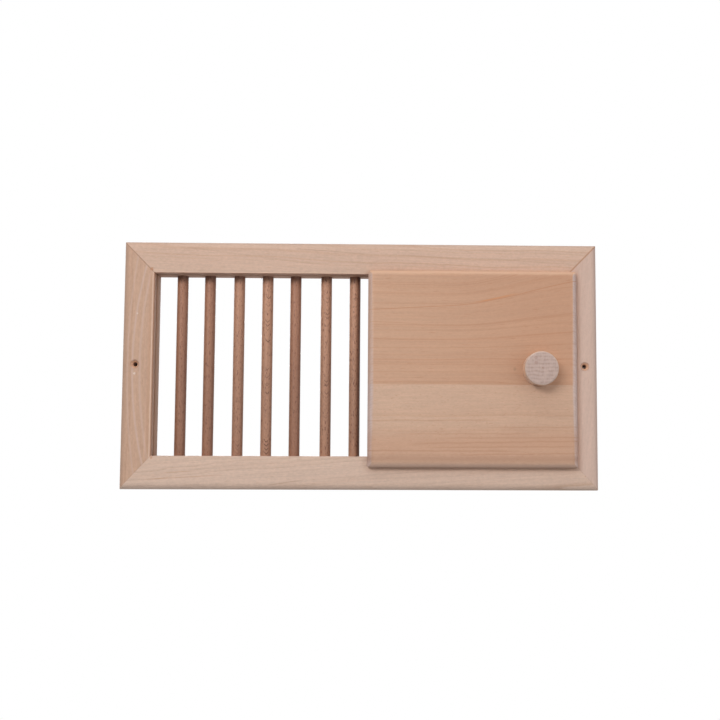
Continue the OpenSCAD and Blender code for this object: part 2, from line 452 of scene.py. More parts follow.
class Handling(Effect):
    """What planing, sanding and use leave: eased arrises, small dents and dust."""

    inputs = dict(place=ORIGIN, normal=(0.0, 0.0, 1.0), seed=0.0)

    @staticmethod
    def wire(bench: Bench, given: SimpleNamespace) -> Made:
        """Finds eased edges from faces that look along no main direction, and scatters dents and dust.

        Args:
            bench: The group's own tree.
            given: The group's inputs by name.

        Returns:
            What leaves the group, by name.
        """
        x, y, z = abs(given.normal).parts
        main = x.op("MAXIMUM", y.op("MAXIMUM", z))
        place = given.place + bench.join(given.seed, 0.0, 5.0)
        wear_and_light = place.noise(0.25).ease(0.3, 0.7) * 0.4 + 0.6
        return dict(
            arris=main.ease(0.985, 0.8) * wear_and_light,
            dents=place.noise(0.35, 1.0).ease(0.28, 0.2),
            dust=place.noise(1.1, 3.0, 0.7).ease(0.6, 0.85),
        )


class Mark(Effect):
    """A line that follows the grain, a mitre or a colour band, some of them painted shade or highlight, drawn at a set
    height and slope.
    """

    inputs = dict(
        place=ORIGIN, height=0.0, slope=0.0, bow=0.0, wave=0.6, width=0.5, start=-200.0, end=200.0, fade=20.0, seed=0.0,
    )

    @staticmethod
    def wire(bench: Bench, given: SimpleNamespace) -> Made:
        """Measures the distance to a gently bent line and fades it towards its ends.

        Args:
            bench: The group's own tree.
            given: The group's inputs by name.

        Returns:
            What leaves the group, by name.
        """
        x, _, z = given.place.parts
        wander = bench.join(x * 0.045 + given.seed, 0.0, 0.0).noise()
        line = x * given.slope + given.height + x * x * given.bow + (wander - 0.5) * given.wave
        off = abs(z - line) / (given.slope * given.slope + 1.0).op("SQRT")
        ragged = (given.place * (0.3, 2.0, 2.0)).noise() + 0.5
        start = x.ease(given.start, given.start + given.fade)
        end = x.ease(given.end, given.end - given.fade)
        return dict(mask=off.ease(given.width * ragged, 0.0) * (start * end))


class Spot(Effect):
    """A small round blemish with a ragged rim."""

    inputs = dict(place=ORIGIN, centre=ORIGIN, radius=0.8)

    @staticmethod
    def wire(bench: Bench, given: SimpleNamespace) -> Made:
        """Measures the distance to the centre, roughened by noise.

        Args:
            bench: The group's own tree.
            given: The group's inputs by name.

        Returns:
            What leaves the group, by name.
        """
        away = (given.place.noise(1.3) - 0.5) * given.radius + given.place.op("DISTANCE", given.centre)
        return dict(mask=away.ease(given.radius, given.radius * 0.45))


class WoodTint(Effect):
    """Turns rings, fibres, end grain and handling into a colour, a roughness and a relief."""

    inputs = dict(
        pale=(0.6, 0.4, 0.3, 1.0), dark=(0.4, 0.2, 0.1, 1.0), cut=(0.5, 0.3, 0.2, 1.0), wear_and_light=(0.6, 0.5, 0.4, 1.0),
        wear_and_light_depth=0.2, ring_depth=0.5, fibre_depth=0.5, pore_depth=0.5, speck_depth=0.3, ray_depth=0.55,
        late=0.0, tone=0.5, hair=0.5, streak=0.5, pore=0.0, cloud=0.5, speck=0.5,
        end=0.0, rays=0.0, mottle=0.5, arris=0.0, dents=0.0, dust=0.0,
    )

    @staticmethod
    def wire(bench: Bench, given: SimpleNamespace) -> Made:
        """Lays the layers over each other, from the broadest tone to the finest line.

        Args:
            bench: The group's own tree.
            given: The group's inputs by name.

        Returns:
            What leaves the group, by name.
        """
        ring = (given.tone - 0.3) * 0.35 + given.late
        ring = bench.work("MULTIPLY", ring, given.ring_depth, clamp=True)
        pores = bench.work("MULTIPLY", given.pore, given.pore_depth, clamp=True)
        broad = ((given.cloud - 0.5) + (given.streak - 0.5)) * given.fibre_depth * 0.22
        fine = (given.hair - 0.5) * given.fibre_depth * 0.55
        level = broad + 1.0 + fine + (given.speck - 0.5) * given.speck_depth
        colour = bench.shade(bench.blend(ring, given.pale, given.dark), level)
        colour = bench.blend(pores, colour, given.dark)
        cut = bench.blend(given.rays * given.ray_depth, given.cut, given.dark)
        cut = bench.shade(cut, given.mottle * 0.3 + 0.86)
        colour = bench.blend(given.end, colour, cut)
        # Eased edges are blended towards a pale colour: partly sanded wear, partly a painted highlight where a face
        # turns into its rounding.
        colour = bench.blend(given.arris * given.wear_and_light_depth, colour, given.wear_and_light)
        colour = bench.blend(given.dust * 0.1, colour, DUST)
        rough = given.hair * 0.16 + 0.56 + given.end * 0.12 - given.arris * 0.1
        relief = given.hair * 0.5 + given.late * 0.05 - given.pore * 0.6 - given.rays * given.end * 0.8
        return dict(color=colour, roughness=rough, height=relief - given.dents * 0.7)


# ---------------------------------------------------------------- finishes


@dataclass(frozen=True)
class Line:
    """A distinct line or colour band in the surface of one piece; some are painted shade or highlight."""

    height: float
    slope: float = 0.0
    bow: float = 0.0
    width: float = 0.5
    start: float = -200.0
    end: float = 200.0
    fade: float = 20.0
    wave: float = 0.8
    depth: float = 0.4
    colour: Colour = paint(158, 118, 92)
    with_grain: bool = True


def straight_mark(height: float, slope: float = 0.0, wave: float = 0.0, **own: Any) -> Line:
    """Returns a line that leaves the grain aside and runs straight; some of these lines are painted shade or highlight.
    """
    return Line(height, slope, wave=wave, with_grain=False, **own)


@dataclass(frozen=True)
class Blemish:
    """A small spot in the surface of one piece."""

    centre: Point3
    radius: float
    depth: float
    colour: Colour


class Finish:
    """A procedural material that is built from the fields of its class."""

    name: str
    relief: float = 0.5
    depth: float = 0.08
    metal: float = 0.0
    shine: float = 0.5

    def shader(self, bench: Bench) -> Wire:
        """Builds the nodes up to the shader, which each finish does in its own way.

        Args:
            bench: The material's tree.

        Returns:
            The shader.
        """
        raise NotImplementedError

    def material(self) -> bpy.types.Material:
        """Builds the material.

        Returns:
            The material.
        """
        made = bpy.data.materials.new(self.name)
        bench = Bench.cleared(made)
        bench.put("ShaderNodeOutputMaterial", {"Surface": self.shader(bench)})
        return made


@dataclass(frozen=True)
class Timber(Finish):
    """Finish of one planed and sanded piece of pale hardwood.

    Places are millimetres with the fibres along X, measured from the piece's own middle.
    """

    name: str
    pale: Colour
    dark: Colour
    cut: Colour
    fibre: Fibre = Fibre.LEVEL
    middle: Point3 = ORIGIN
    pith: Point3 = (0.0, 30.0, 60.0)
    lean: Point3 = ORIGIN
    rise: float = 0.0
    rise_start: float = 0.0
    rise_end: float = 100.0
    wander: float = 3.0
    gap: float = 3.0
    seed: float = 0.0
    ring_depth: float = 0.6
    fibre_depth: float = 0.5
    pore_depth: float = 0.4
    reach: float = 45.0
    fineness: float = 1.6
    speck_depth: float = 0.3
    ray_gap: float = 1.0
    bar_gap: float = 1.9
    ray_depth: float = 0.5
    slant: float = 0.0
    # The pale colour of eased edges: sanded wear, with a painted highlight.
    wear_and_light: Colour = paint(196, 172, 164)
    wear_and_light_depth: float = 0.2
    fall: float = 0.0
    fall_reach: float = 70.0
    seed_step: float = 3.7
    shine: float = 0.35
    lines: tuple[Line, ...] = ()
    blemishes: tuple[Blemish, ...] = ()

    def shader(self, bench: Bench) -> Wire:
        """Lays rings, fibres, end grain and wear over each other, then the piece's own marks.

        Args:
            bench: The material's tree.

        Returns:
            The shader.
        """
        place, facing = bench.place(self.fibre, self.middle), bench.facing(self.fibre)
        own = vars(self)
        rings = bench.effect(GrowthRings, own, place=place)
        fibres = bench.effect(Fibres, own, place=rings.flow)
        end = bench.effect(EndGrain, own, place=place, normal=facing)
        use = bench.effect(Handling, own, place=place, normal=facing)
        tint = bench.effect(WoodTint, own, vars(rings), vars(fibres), vars(end), vars(use))
        colour = self.marked(bench, place, rings.flow, tint.color, end.end)
        return bench.solid(self, colour, tint.roughness, tint.height)

    def marked(self, bench: Bench, place: Wire, flow: Wire, colour: Wire, end: Wire) -> Wire:
        """Draws the piece's own lines and spots over its grain.

        Args:
            bench: The material's tree.
            place: The place in millimetres.
            flow: The same place, bent as the grain is.
            colour: The colour so far.
            end: 1 where the face is end grain, which the fall in colour along the piece leaves alone.

        Returns:
            The colour with the marks on it.
        """
        along, _, _ = place.parts
        fall = along.ease(-self.fall_reach, self.fall_reach) * self.fall * (1.0 - end)
        colour = bench.blend(fall, colour, self.dark)
        for index, line in enumerate(self.lines):
            seed = self.seed + self.seed_step * index
            mask = bench.effect(Mark, vars(line), place=flow if line.with_grain else place, seed=seed).mask
            colour = bench.blend(mask * line.depth, colour, line.colour)
        for spot in self.blemishes:
            mask = bench.effect(Spot, vars(spot), place=place).mask
            colour = bench.blend(mask * spot.depth, colour, spot.colour)
        return colour


@dataclass(frozen=True)
class RodTimber(Finish):
    """Finish of the dowels: reddish wood, darker at the foot, with painted shade under the top rail and down each
    dowel's right-hand side.

    Its tone, turn and figure change with each dowel.
    """

    name: str = "dowel_timber"
    pale: Colour = paint(161, 113, 88)
    light: Colour = paint(190, 142, 115)
    dark: Colour = paint(112, 72, 52)
    cut: Colour = paint(150, 112, 92)
    fleck: Colour = paint(126, 82, 62)
    # Painted shade: the colour that darkens each dowel's right-hand side.
    heart: Colour = paint(84, 54, 42)
    pith: Point3 = (0.0, 9.0, 0.0)
    lean: Point3 = (0.0, 0.045, 0.0)
    wander: float = 1.2
    gap: float = 2.1
    reach: float = 4.0
    fineness: float = 1.5
    ray_gap: float = 0.6
    ring_depth: float = 0.2
    speck_depth: float = 0.45
    ray_depth: float = 0.5
    seed_step: float = 11.3
    foot: float = 0.85
    lift: float = 0.4
    lift_start: float = 38.0
    lift_end: float = 173.0
    # Painted shade: the dowels' tops are darkened where the top rail shades them.
    rail_shade: float = 0.52
    rail_shade_start: float = 132.5
    rail_shade_end: float = 138.5
    rubbed: float = 0.16
    side_shade_start: float = -0.3
    side_shade_end: float = -3.0
    relief: float = 0.6
    depth: float = 0.12
    shine: float = 0.45

    def shader(self, bench: Bench) -> Wire:
        """Reads each dowel's own place, tone, turn and figure and lays the wood over them.

        Args:
            bench: The material's tree.

        Returns:
            The shader.
        """
        place, _ = bench.attribute("rod_place")
        names = ("rod_tone", "rod_turn", "rod_chevrons", "rod_heart")
        tone, turn, chevrons, heart = (bench.attribute(name)[1] for name in names)
        seed = turn * self.seed_step
        rolled = bench.put("ShaderNodeVectorRotate", {"Vector": place, "Angle": turn}, rotation_type="X_AXIS")
        facing = bench.facing(Fibre.UPRIGHT)
        own = vars(self) | dict(seed=seed)
        rings = bench.effect(GrowthRings, own, place=rolled)
        fibres = bench.effect(Fibres, own, place=rolled)
        end = bench.effect(EndGrain, own, place=rolled, normal=facing)
        use = bench.effect(Handling, place=rolled, seed=seed)
        figure = bench.effect(BeechFigure, place=place, seed=seed)
        pale = bench.blend(tone, self.pale, self.light)
        tint = bench.effect(WoodTint, own, vars(rings), vars(fibres), vars(end), vars(use), arris=0.0, pale=pale)
        colour = bench.blend(figure.fleck, tint.color, self.fleck)
        colour = bench.blend(figure.chevron * chevrons, colour, self.dark)
        along, _, side = place.parts
        # Painted shade down each dowel's right-hand side, deepest on the dowel beside the shutter.
        colour = bench.blend(side.ease(self.side_shade_start, self.side_shade_end) * heart, colour, self.heart)
        level = along.ease(self.lift_start, self.lift_end) * self.lift + self.foot
        # Painted shade: darkens each dowel just under the top rail.
        rail_shading = along.ease(self.rail_shade_start, self.rail_shade_end) * -self.rail_shade + 1.0
        return bench.solid(self, bench.shade(colour, level * rail_shading), tint.roughness - self.rubbed, tint.height)


@dataclass(frozen=True)
class Zinc(Finish):
    """Finish of the screw: bright zinc with a faint yellow tarnish."""

    name: str = "zinc"
    bright: Colour = paint(176, 176, 172)
    tarnish: Colour = paint(150, 142, 118)
    seed: float = 2.0
    relief: float = 0.4
    depth: float = 0.03
    metal: float = 1.0

    def shader(self, bench: Bench) -> Wire:
        """Spreads blotches of tarnish over fine roughness and dents.

        Args:
            bench: The material's tree.

        Returns:
            The shader.
        """
        place, facing = bench.place(Fibre.LEVEL), bench.facing(Fibre.LEVEL)
        blotch = place.noise(0.9, 4.0, 0.6).ease(0.4, 0.7)
        use = bench.effect(Handling, place=place, normal=facing, seed=self.seed)
        colour = bench.blend(blotch, self.bright, self.tarnish)
        relief = place.noise(6.0, 3.0) + use.dents
        return bench.solid(self, colour, blotch * 0.2 + 0.3, relief)


@dataclass(frozen=True)
class Glue(Finish):
    """Finish of the glue that was squeezed out of the mitres and sanded flush."""

    name: str = "dried_glue"
    clear: Colour = paint(196, 140, 96)
    dark: Colour = paint(150, 98, 62)
    depth: float = 0.05

    def shader(self, bench: Bench) -> Wire:
        """Spreads darker blotches over clear glue.

        Args:
            bench: The material's tree.

        Returns:
            The shader.
        """
        place = bench.place(Fibre.LEVEL)
        blotch = place.noise(0.8, 3.0)
        colour = bench.blend(blotch.ease(0.35, 0.65), self.clear, self.dark)
        return bench.solid(self, colour, blotch * 0.3 + 0.3, place.noise(4.0))


# ---------------------------------------------------------------- shape helpers


def eased(corners: Sequence[Point3], steps: int = 4) -> list[Point2]:
    """Rounds the corners of a closed outline.

    Args:
        corners: Each corner as x, y and the radius worked on it.
        steps: Straight parts in each small round; a big one gets a multiple of them.

    Returns:
        The outline's points, in the same order.
    """
    points: list[Point2] = []
    for index, (x, y, radius) in enumerate(corners):
        here = Vector((x, y))
        if radius <= 0:
            points.append((x, y))
            continue
        before = (Vector(corners[index - 1][:2]) - here).normalized()
        after = (Vector(corners[(index + 1) % len(corners)][:2]) - here).normalized()
        half = before.angle(after) / 2
        centre = here + (before + after).normalized() * radius / math.sin(half)
        start = here + before * radius / math.tan(half) - centre
        end = here + after * radius / math.tan(half) - centre
        sweep = start.angle_signed(end)
        parts = steps * BIG_ROUND_STEPS if radius > BIG_ROUND else steps
        for step in range(parts + 1):
            spot = centre + Matrix.Rotation(-sweep * step / parts, 2) @ start
            points.append((spot.x, spot.y))
    return points


def linked(name: str, data: bpy.types.ID) -> bpy.types.Object:
    """Links a mesh, a lamp or a camera to the scene, at the origin.

    Args:
        name: The object's name.
        data: What the object shows.

    Returns:
        The object.
    """
    made = bpy.data.objects.new(name, data)
    bpy.context.scene.collection.objects.link(made)
    return made


def carrier(
    points: Iterable[Sequence[float]], edges: Iterable[Sequence[int]] = (), **own: Iterable[float]
) -> bpy.types.Object:
    """Makes the points and edges that a recipe works on.

    Args:
        points: The points in millimetres.
        edges: The two points of each edge.
        own: One number for each point, by attribute name.

    Returns:
        The object, in metres.
    """
    mesh = bpy.data.meshes.new("carrier")
    mesh.from_pydata([tuple(part * MM for part in point) for point in points], list(edges), [])
    for name, values in own.items():
        mesh.attributes.new(name, "FLOAT", "POINT").data.foreach_set("value", values)
    return linked("carrier", mesh)


def outline(points: Sequence[Point2]) -> bpy.types.Object:
    """Makes a closed line of edges in the XY plane."""
    count = len(points)
    return carrier([(x, y, 0.0) for x, y in points], [(i, (i + 1) % count) for i in range(count)])


@contextmanager
def reworked(mesh: bpy.types.Mesh) -> Iterator[bmesh.types.BMesh]:
    """Opens a mesh for work and writes it back afterwards.

    Args:
        mesh: The mesh to work on.

    Yields:
        The mesh in its working form.
    """
    work = bmesh.new()
    work.from_mesh(mesh)
    yield work
    work.to_mesh(mesh)
    work.free()


def soften(mesh: bpy.types.Mesh) -> bpy.types.Mesh:
    """Shades a mesh smooth and keeps its sharp edges sharp.

    Args:
        mesh: The mesh to shade.

    Returns:
        The same mesh.
    """
    with reworked(mesh) as work:
        for face in work.faces:
            face.smooth = True
        for edge in work.edges:
            edge.smooth = len(edge.link_faces) == 2 and edge.calc_face_angle() < SMOOTH_ANGLE
    return mesh


def turned(name: str, profile: Sequence[Point2], segments: int) -> bpy.types.Mesh:
    """Turns a profile about the Z axis into a closed mesh.

    Args:
        name: The mesh's name.
        profile: Radius and height of each point, from the axis at the foot to the axis at the top.
        segments: Number of parts round the axis.

    Returns:
        The mesh, in metres.
    """
    mesh = bpy.data.meshes.new(name)
    angles = [2 * math.pi * i / segments for i in range(segments)]
    with reworked(mesh) as work:
        rings = []
        for radius, height in profile:
            wide = radius * MM
            spots = [(wide * math.cos(a), wide * math.sin(a), height * MM) for a in (angles if radius > 0 else [0.0])]
            rings.append([work.verts.new(spot) for spot in spots])
        for low, high in zip(rings, rings[1:]):
            for i in range(segments):
                k = (i + 1) % segments
                corners = [low[i % len(low)], low[k % len(low)], high[k % len(high)], high[i % len(high)]]
                unique = list(dict.fromkeys(corners))
                if len(unique) > 2:
                    work.faces.new(unique)
        bmesh.ops.recalc_face_normals(work, faces=work.faces)
    return soften(mesh)


def merged_copy(node: str) -> bpy.types.Mesh:
    """Copies a CAD node's mesh and joins its loose triangles into plain faces.

    Args:
        node: The CAD node's name.

    Returns:
        The new mesh.
    """
    mesh = bpy.data.meshes.new(f"{node}_piece")
    with reworked(mesh) as work:
        work.from_mesh(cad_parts[node].data)
        bmesh.ops.remove_doubles(work, verts=work.verts, dist=MERGE_DISTANCE)
        bmesh.ops.dissolve_limit(work, angle_limit=MERGE_ANGLE, verts=work.verts, edges=work.edges)
    return soften(mesh)


def sizes(node: str) -> tuple[Vector, Vector]:
    """Returns the low and the high corner of a CAD node's box, in millimetres."""
    low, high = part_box(node)
    return low / MM, high / MM


def middle_of(node: str) -> Point3:
    """Returns the middle of a CAD node's box, in millimetres."""
    low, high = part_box(node)
    return tuple((low + high) / 2 / MM)


class Recipe:
    """A geometry node tree with named inputs, run on a carrier and turned into a plain mesh."""

    def __init__(self, title: str, **inputs: Any) -> None:
        """Makes the tree and its sockets.

        Args:
            title: The tree's name.
            inputs: Each input's default value by name, or the name of its kind where it has none.
        """
        self.tree = bpy.data.node_groups.new(title, "GeometryNodeTree")
        face = self.tree.interface
        face.new_socket(name="geometry", in_out="INPUT", socket_type="NodeSocketGeometry")
        self.keys: dict[str, str] = {}
        kinds = {float: "Float", int: "Int", tuple: "Vector"}
        for name, value in (inputs | dict(finish="Material")).items():
            kind = kinds.get(type(value), value)
            socket = face.new_socket(name=name, in_out="INPUT", socket_type=f"NodeSocket{kind}")
            if kind != value:
                socket.default_value = value
            self.keys[name] = socket.identifier
        face.new_socket(name="geometry", in_out="OUTPUT", socket_type="NodeSocketGeometry")
        self.bench = Bench(self.tree)
        self.given = self.bench.named(self.bench.put("NodeGroupInput").socket.node.outputs)
        self.tools = self.bench, self.given, self.bench.put

    def sweep(self, path: Wire, section: Wire, scale: Wire) -> Wire:
        """Runs a section along a path, closes its ends and returns the shape.

        Args:
            path: The path's curve.
            section: The section's curve.
            scale: Size of the section at each point of the path.

        Returns:
            The mesh.
        """
        feeds = {"Curve": path, "Profile Curve": section, "Scale": scale, "Fill Caps": True}
        return self.bench.put("GeometryNodeCurveToMesh", feeds)

    def close(self, shape: Wire, angle: float = SMOOTH_ANGLE) -> None:
        """Ends the tree: shading, Realize Instances and Set Material.

        Args:
            shape: The finished geometry.
            angle: The angle above which an edge stays sharp.
        """
        put = self.bench.put
        real = put("GeometryNodeRealizeInstances", {0: shape})
        smooth = put("GeometryNodeSetShadeSmooth", {"Geometry": real})
        feeds = {0: put("GeometryNodeInputMeshEdgeAngle"), 1: angle}
        sharp = put("FunctionNodeCompare", feeds, data_type="FLOAT", operation="GREATER_THAN")
        feeds = {"Geometry": smooth, "Selection": sharp, "Shade Smooth": False}
        shaded = put("GeometryNodeSetShadeSmooth", feeds, domain="EDGE")
        put("NodeGroupOutput", {0: put("GeometryNodeSetMaterial", {"Geometry": shaded, "Material": self.given.finish})})

    def run(self, carried: bpy.types.Object, name: str, **values: Any) -> bpy.types.Object:
        """Runs the tree on an object.

        Args:
            carried: The object whose geometry goes in; it is removed afterwards.
            name: The name of the result.
            values: Input values by name.

        Returns:
            A new object with the plain mesh.
        """
        modifier = carried.modifiers.new("recipe", "NODES")
        modifier.node_group = self.tree
        for key, value in values.items():
            modifier[self.keys[key]] = value
        carried.update_tag()
        bpy.context.view_layer.update()
        graph = bpy.context.evaluated_depsgraph_get()
        mesh = bpy.data.meshes.new_from_object(carried.evaluated_get(graph), depsgraph=graph)
        mesh.name = name
        carried.modifiers.remove(modifier)
        bpy.data.objects.remove(carried)
        return linked(name, mesh)


# ---------------------------------------------------------------- sub-assemblies


def seat(piece: bpy.types.Object, body: str, slot: str | None, nodes: Sequence[str]) -> bpy.types.Object:
    """Ties a finished piece to its body and hides the CAD nodes it stands for.

    Args:
        piece: The finished piece, at the origin.
        body: The body it moves with.
        slot: Not used.
        nodes: The CAD nodes it replaces.

    Returns:
        The same piece.
    """
    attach(piece, body)
    if nodes:
        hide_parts(*nodes)
    log.info("%s rides on %s and stands for %s", piece.name, body, ", ".join(nodes) or "no node")
    return piece


@dataclass(frozen=True)
class Seam:
    """The glue line of one mitre: which corner it runs to, how it shows and how thick its beads are."""

    side_x: int
    side_z: int
    width: float
    depth: float
    colour: Colour
    bead: float


class Mitre(Enum):
    """The four mitres of the frame."""

    TOP_LEFT = Seam(-1, 1, 0.42, 0.6, paint(150, 112, 90), 0.9)
    TOP_RIGHT = Seam(1, 1, 0.75, 0.7, paint(176, 124, 90), 0.7)
    BOTTOM_LEFT = Seam(-1, -1, 0.35, 0.12, paint(160, 122, 98), 0.5)
    BOTTOM_RIGHT = Seam(1, -1, 0.35, 0.06, paint(170, 134, 112), 0.6)


@dataclass
class Member:
    """One moulding of the frame between two mitres."""

    node: str
    slot: str
    width: float
    half_length: float
    start_mitre: float
    end_mitre: float
    turn: float
    origin: Point3
    seams: tuple[Mitre, Mitre]
    screws: Sequence[Point2] = ()
    bores: Sequence[Point2] = ()


@dataclass
class FrameWork:
    """The mitred frame: four grooved mouldings with eased arrises."""

    half_w: float
    half_h: float
    thick: float
    stile_w: float
    top_w: float
    bottom_w: float
    edge_r: float = 5.0
    corner_r: float = 1.0
    arris_r: float = 0.35
    lip_r: float = 0.7 * 0.35
    floor_r: float = 0.2
    lip_t: float = 5.0
    groove_w: float = 5.0
    groove_depth: float = 8.8
    hole_d: float = 3.2
    sink_d: float = 6.6
    hole_inset: float = 9.5
    dowel_inset: float = 15.5
    bore_depth: float = 8.5
    bore_gap: float = 0.1
    over: float = 1.0
    mitre_ease: float = 0.0045
    rings: int = 62
    screw_sides: int = 48
    bore_sides: int = 32

    @classmethod
    def measured(cls) -> "FrameWork":
        """Takes the frame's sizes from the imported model.

        Returns:
            The frame with those sizes.
        """
        top_low, top_high = sizes("top_rail")
        low_low, low_high = sizes("bottom_rail")
        left_low, left_high = sizes("left_stile")
        return cls(
            half_w=top_high.x, half_h=top_high.z, thick=-top_low.y, stile_w=left_high.x - left_low.x,
            top_w=top_high.z - top_low.z, bottom_w=low_high.z - low_low.z,
        )

    def profile(self, width: float) -> list[Point2]:
        """Draws a moulding's cross-section.

        Args:
            width: Width of the moulding.

        Returns:
            Points as distance inwards and depth behind the front face.
        """
        lip, back, floor = self.lip_t, self.lip_t + self.groove_w, width - self.groove_depth
        return eased([
            (0, 0, self.edge_r), (width, 0, self.arris_r), (width, lip, self.lip_r), (floor, lip, self.floor_r),
            (floor, back, self.floor_r), (width, back, self.lip_r), (width, self.thick, self.arris_r),
            (0, self.thick, self.arris_r),
        ])

    def recipe(self) -> Recipe:
        """Builds the tree that runs a profile between two mitres, rounds the outer corners and drills it.

        Returns:
            The recipe.
        """
        recipe = Recipe(
            "mitred moulding", length=0.34, start_mitre=1.0, end_mitre=1.0, middle=ORIGIN, mitre_ease=0.01,
            corner_radius=0.001, rings=62, cutters="Object", turn=ORIGIN, move=ORIGIN,
        )
        bench, given, put = recipe.tools
        half = given.length * 0.5
        line = put("GeometryNodeCurvePrimitiveLine", {"Start": (0, 0, -1), "End": (0, 0, 1)})
        line = put("GeometryNodeResampleCurve", {"Curve": line, "Count": given.rings})
        _, _, run = put("GeometryNodeInputPosition").parts
        left = 1.0 - abs(run)
        along = run.op("SIGN") * (1.0 - left * left) * half
        path = put("GeometryNodeSetPosition", {"Geometry": line, "Position": bench.join(0.0, 0.0, along)})
        _, _, placed = put("GeometryNodeInputPosition").parts
        at_end = abs(placed) > half * (1.0 - TOUCHING)
        section = put("GeometryNodeMeshToCurve", {0: given.geometry})
        swept = recipe.sweep(path, section, 1.0 - at_end * given.mitre_ease)
        swept = put("GeometryNodeSetPosition", {"Geometry": swept, "Offset": given.middle})
        inward, depth, along = put("GeometryNodeInputPosition").parts
        mitre = (along > 0.0) * (given.end_mitre - given.start_mitre) + given.start_mitre
        reach = abs(along) * (1.0 - inward * mitre / half)
        radius = given.corner_radius
        over_in = (radius - inward).op("MAXIMUM", 0.0)
        over_end = (reach - (half - radius)).op("MAXIMUM", 0.0)
        spread = bench.join(over_in, over_end, 0.0).op("LENGTH")
        outside = (over_in > 0.0) * (over_end > 0.0) * (spread > radius)
        pull = (radius / spread.op("MAXIMUM", NEARLY_ZERO) - 1.0) * outside
        where = bench.join(inward - over_in * pull, depth, along.op("SIGN") * (reach + over_end * pull))
        shaped = put("GeometryNodeSetPosition", {"Geometry": swept, "Position": where})
        cutters = put("GeometryNodeObjectInfo", {"Object": given.cutters}, "Geometry")
        feeds = {"Mesh 1": shaped, "Mesh 2": cutters}
        drilled = put("GeometryNodeMeshBoolean", feeds, operation="DIFFERENCE", solver="EXACT")
        rotation = put("FunctionNodeEulerToRotation", {0: given.turn})
        feeds = {"Geometry": drilled, "Translation": given.move, "Rotation": rotation}
        recipe.close(put("GeometryNodeTransform", feeds))
        return recipe

    def cutters(self, member: Member, bore_d: float) -> bpy.types.Object:
        """Makes the shapes that drill one member, in the member's own frame.

        Args:
            member: The member to drill.
            bore_d: Width of each dowel's hole.

        Returns:
            An object with one closed shape for each hole.
        """
        hole, bore, end = self.hole_d / 2, bore_d / 2, self.thick + self.over
        wide, sink = self.sink_d / 2 + self.over, (self.sink_d - self.hole_d) / 2
        screw = [(0, -self.over), (wide, -self.over), (hole, sink), (hole, end), (0, end)]
        blind = [(0, -self.bore_depth), (bore, -self.bore_depth), (bore, self.over), (0, self.over)]
        kinds = (
            (member.screws, screw, self.screw_sides, 0.0, Matrix.Rotation(-QUARTER_TURN, 4, "X")),
            (member.bores, blind, self.bore_sides, self.dowel_inset, Matrix.Rotation(QUARTER_TURN, 4, "Y")),
        )
        mesh = bpy.data.meshes.new("drills")
        with reworked(mesh) as work:
            for spots, profile, sides, depth, turn in kinds:
                for inward, along in spots:
                    shape = turned("drill", profile, sides)
                    shape.transform(Matrix.Translation((inward * MM, depth * MM, along * MM)) @ turn)
                    work.from_mesh(shape)
                    bpy.data.meshes.remove(shape)
        return linked("drills", mesh)

    def members(self, rod_x: Sequence[float]) -> list[Member]:
        """Lists the four members with their mitres, places and holes.

        Args:
            rod_x: Axis position of each dowel.

        Returns:
            The members.
        """
        stile, top, bottom = self.stile_w, self.top_w, self.bottom_w
        wide, tall, front = self.half_w, self.half_h, -self.thick
        tl, tr, bl, br = Mitre
        over, under = [(top, x) for x in rod_x], [(bottom, -x) for x in rod_x]
        screw = [(self.hole_inset, 0.0)]
        to_top, to_bottom = top / stile, bottom / stile
        rail, upright = "rail_wood", "stile_wood"
        return [
            Member("top_rail", rail, top, wide, stile / top, stile / top, 90, (0, front, tall), (tl, tr), (), over),
            Member(
                "bottom_rail", rail, bottom, wide, stile / bottom, stile / bottom, -90, (0, front, -tall), (br, bl),
                (), under,
            ),
            Member("left_stile", upright, stile, tall, to_bottom, to_top, 0, (-wide, front, 0), (bl, tl), screw),
            Member("right_stile", upright, stile, tall, to_top, to_bottom, 180, (wide, front, 0), (tr, br), screw),
        ]

    @staticmethod
    def with_mitres(finish: Timber, member: Member) -> Timber:
        """Adds the glue lines at a member's two mitres to its finish.

        Args:
            finish: The member's finish.
            member: The member.

        Returns:
            The finish with the two lines.
        """
        way = 1.0 if member.turn in (90, 0) else -1.0
        lines = []
        for side, ratio, mitre in zip((-way, way), (member.start_mitre, member.end_mitre), member.seams):
            seam, slope = mitre.value, way * side / ratio
            height = way * member.width / 2 - slope * side * member.half_length
            looks = dict(width=seam.width, wave=0.05, fade=1.0, depth=seam.depth, colour=seam.colour)
            lines.append(straight_mark(height, slope, **looks))
        return replace(finish, lines=finish.lines + tuple(lines))

    def build(self, dowels: "DowelRow", finishes: dict[str, Timber]) -> list[bpy.types.Object]:
        """Builds and dresses the members.

        Args:
            dowels: The dowels that the rails are bored for.
            finishes: The finish of each member by node name.

        Returns:
            One finished piece for each member.
        """
        recipe = self.recipe()
        pieces = []
        for member in self.members(dowels.xs):
            x, y = member.width / 2, self.thick / 2
            cutters = self.cutters(member, dowels.diameter + self.bore_gap)
            piece = recipe.run(
                outline([(a - x, b - y) for a, b in self.profile(member.width)]), f"{member.node}_moulding",
                length=2 * member.half_length * MM, start_mitre=member.start_mitre, end_mitre=member.end_mitre,
                middle=(x * MM, y * MM, 0.0), mitre_ease=self.mitre_ease, corner_radius=self.corner_r * MM,
                rings=self.rings, cutters=cutters, turn=(0.0, math.radians(member.turn), 0.0),
                move=tuple(c * MM for c in member.origin),
                finish=self.with_mitres(finishes[member.node], member).material(),
            )
            bpy.data.objects.remove(cutters)
            pieces.append(seat(piece, "frame", member.slot, [member.node]))
        return pieces


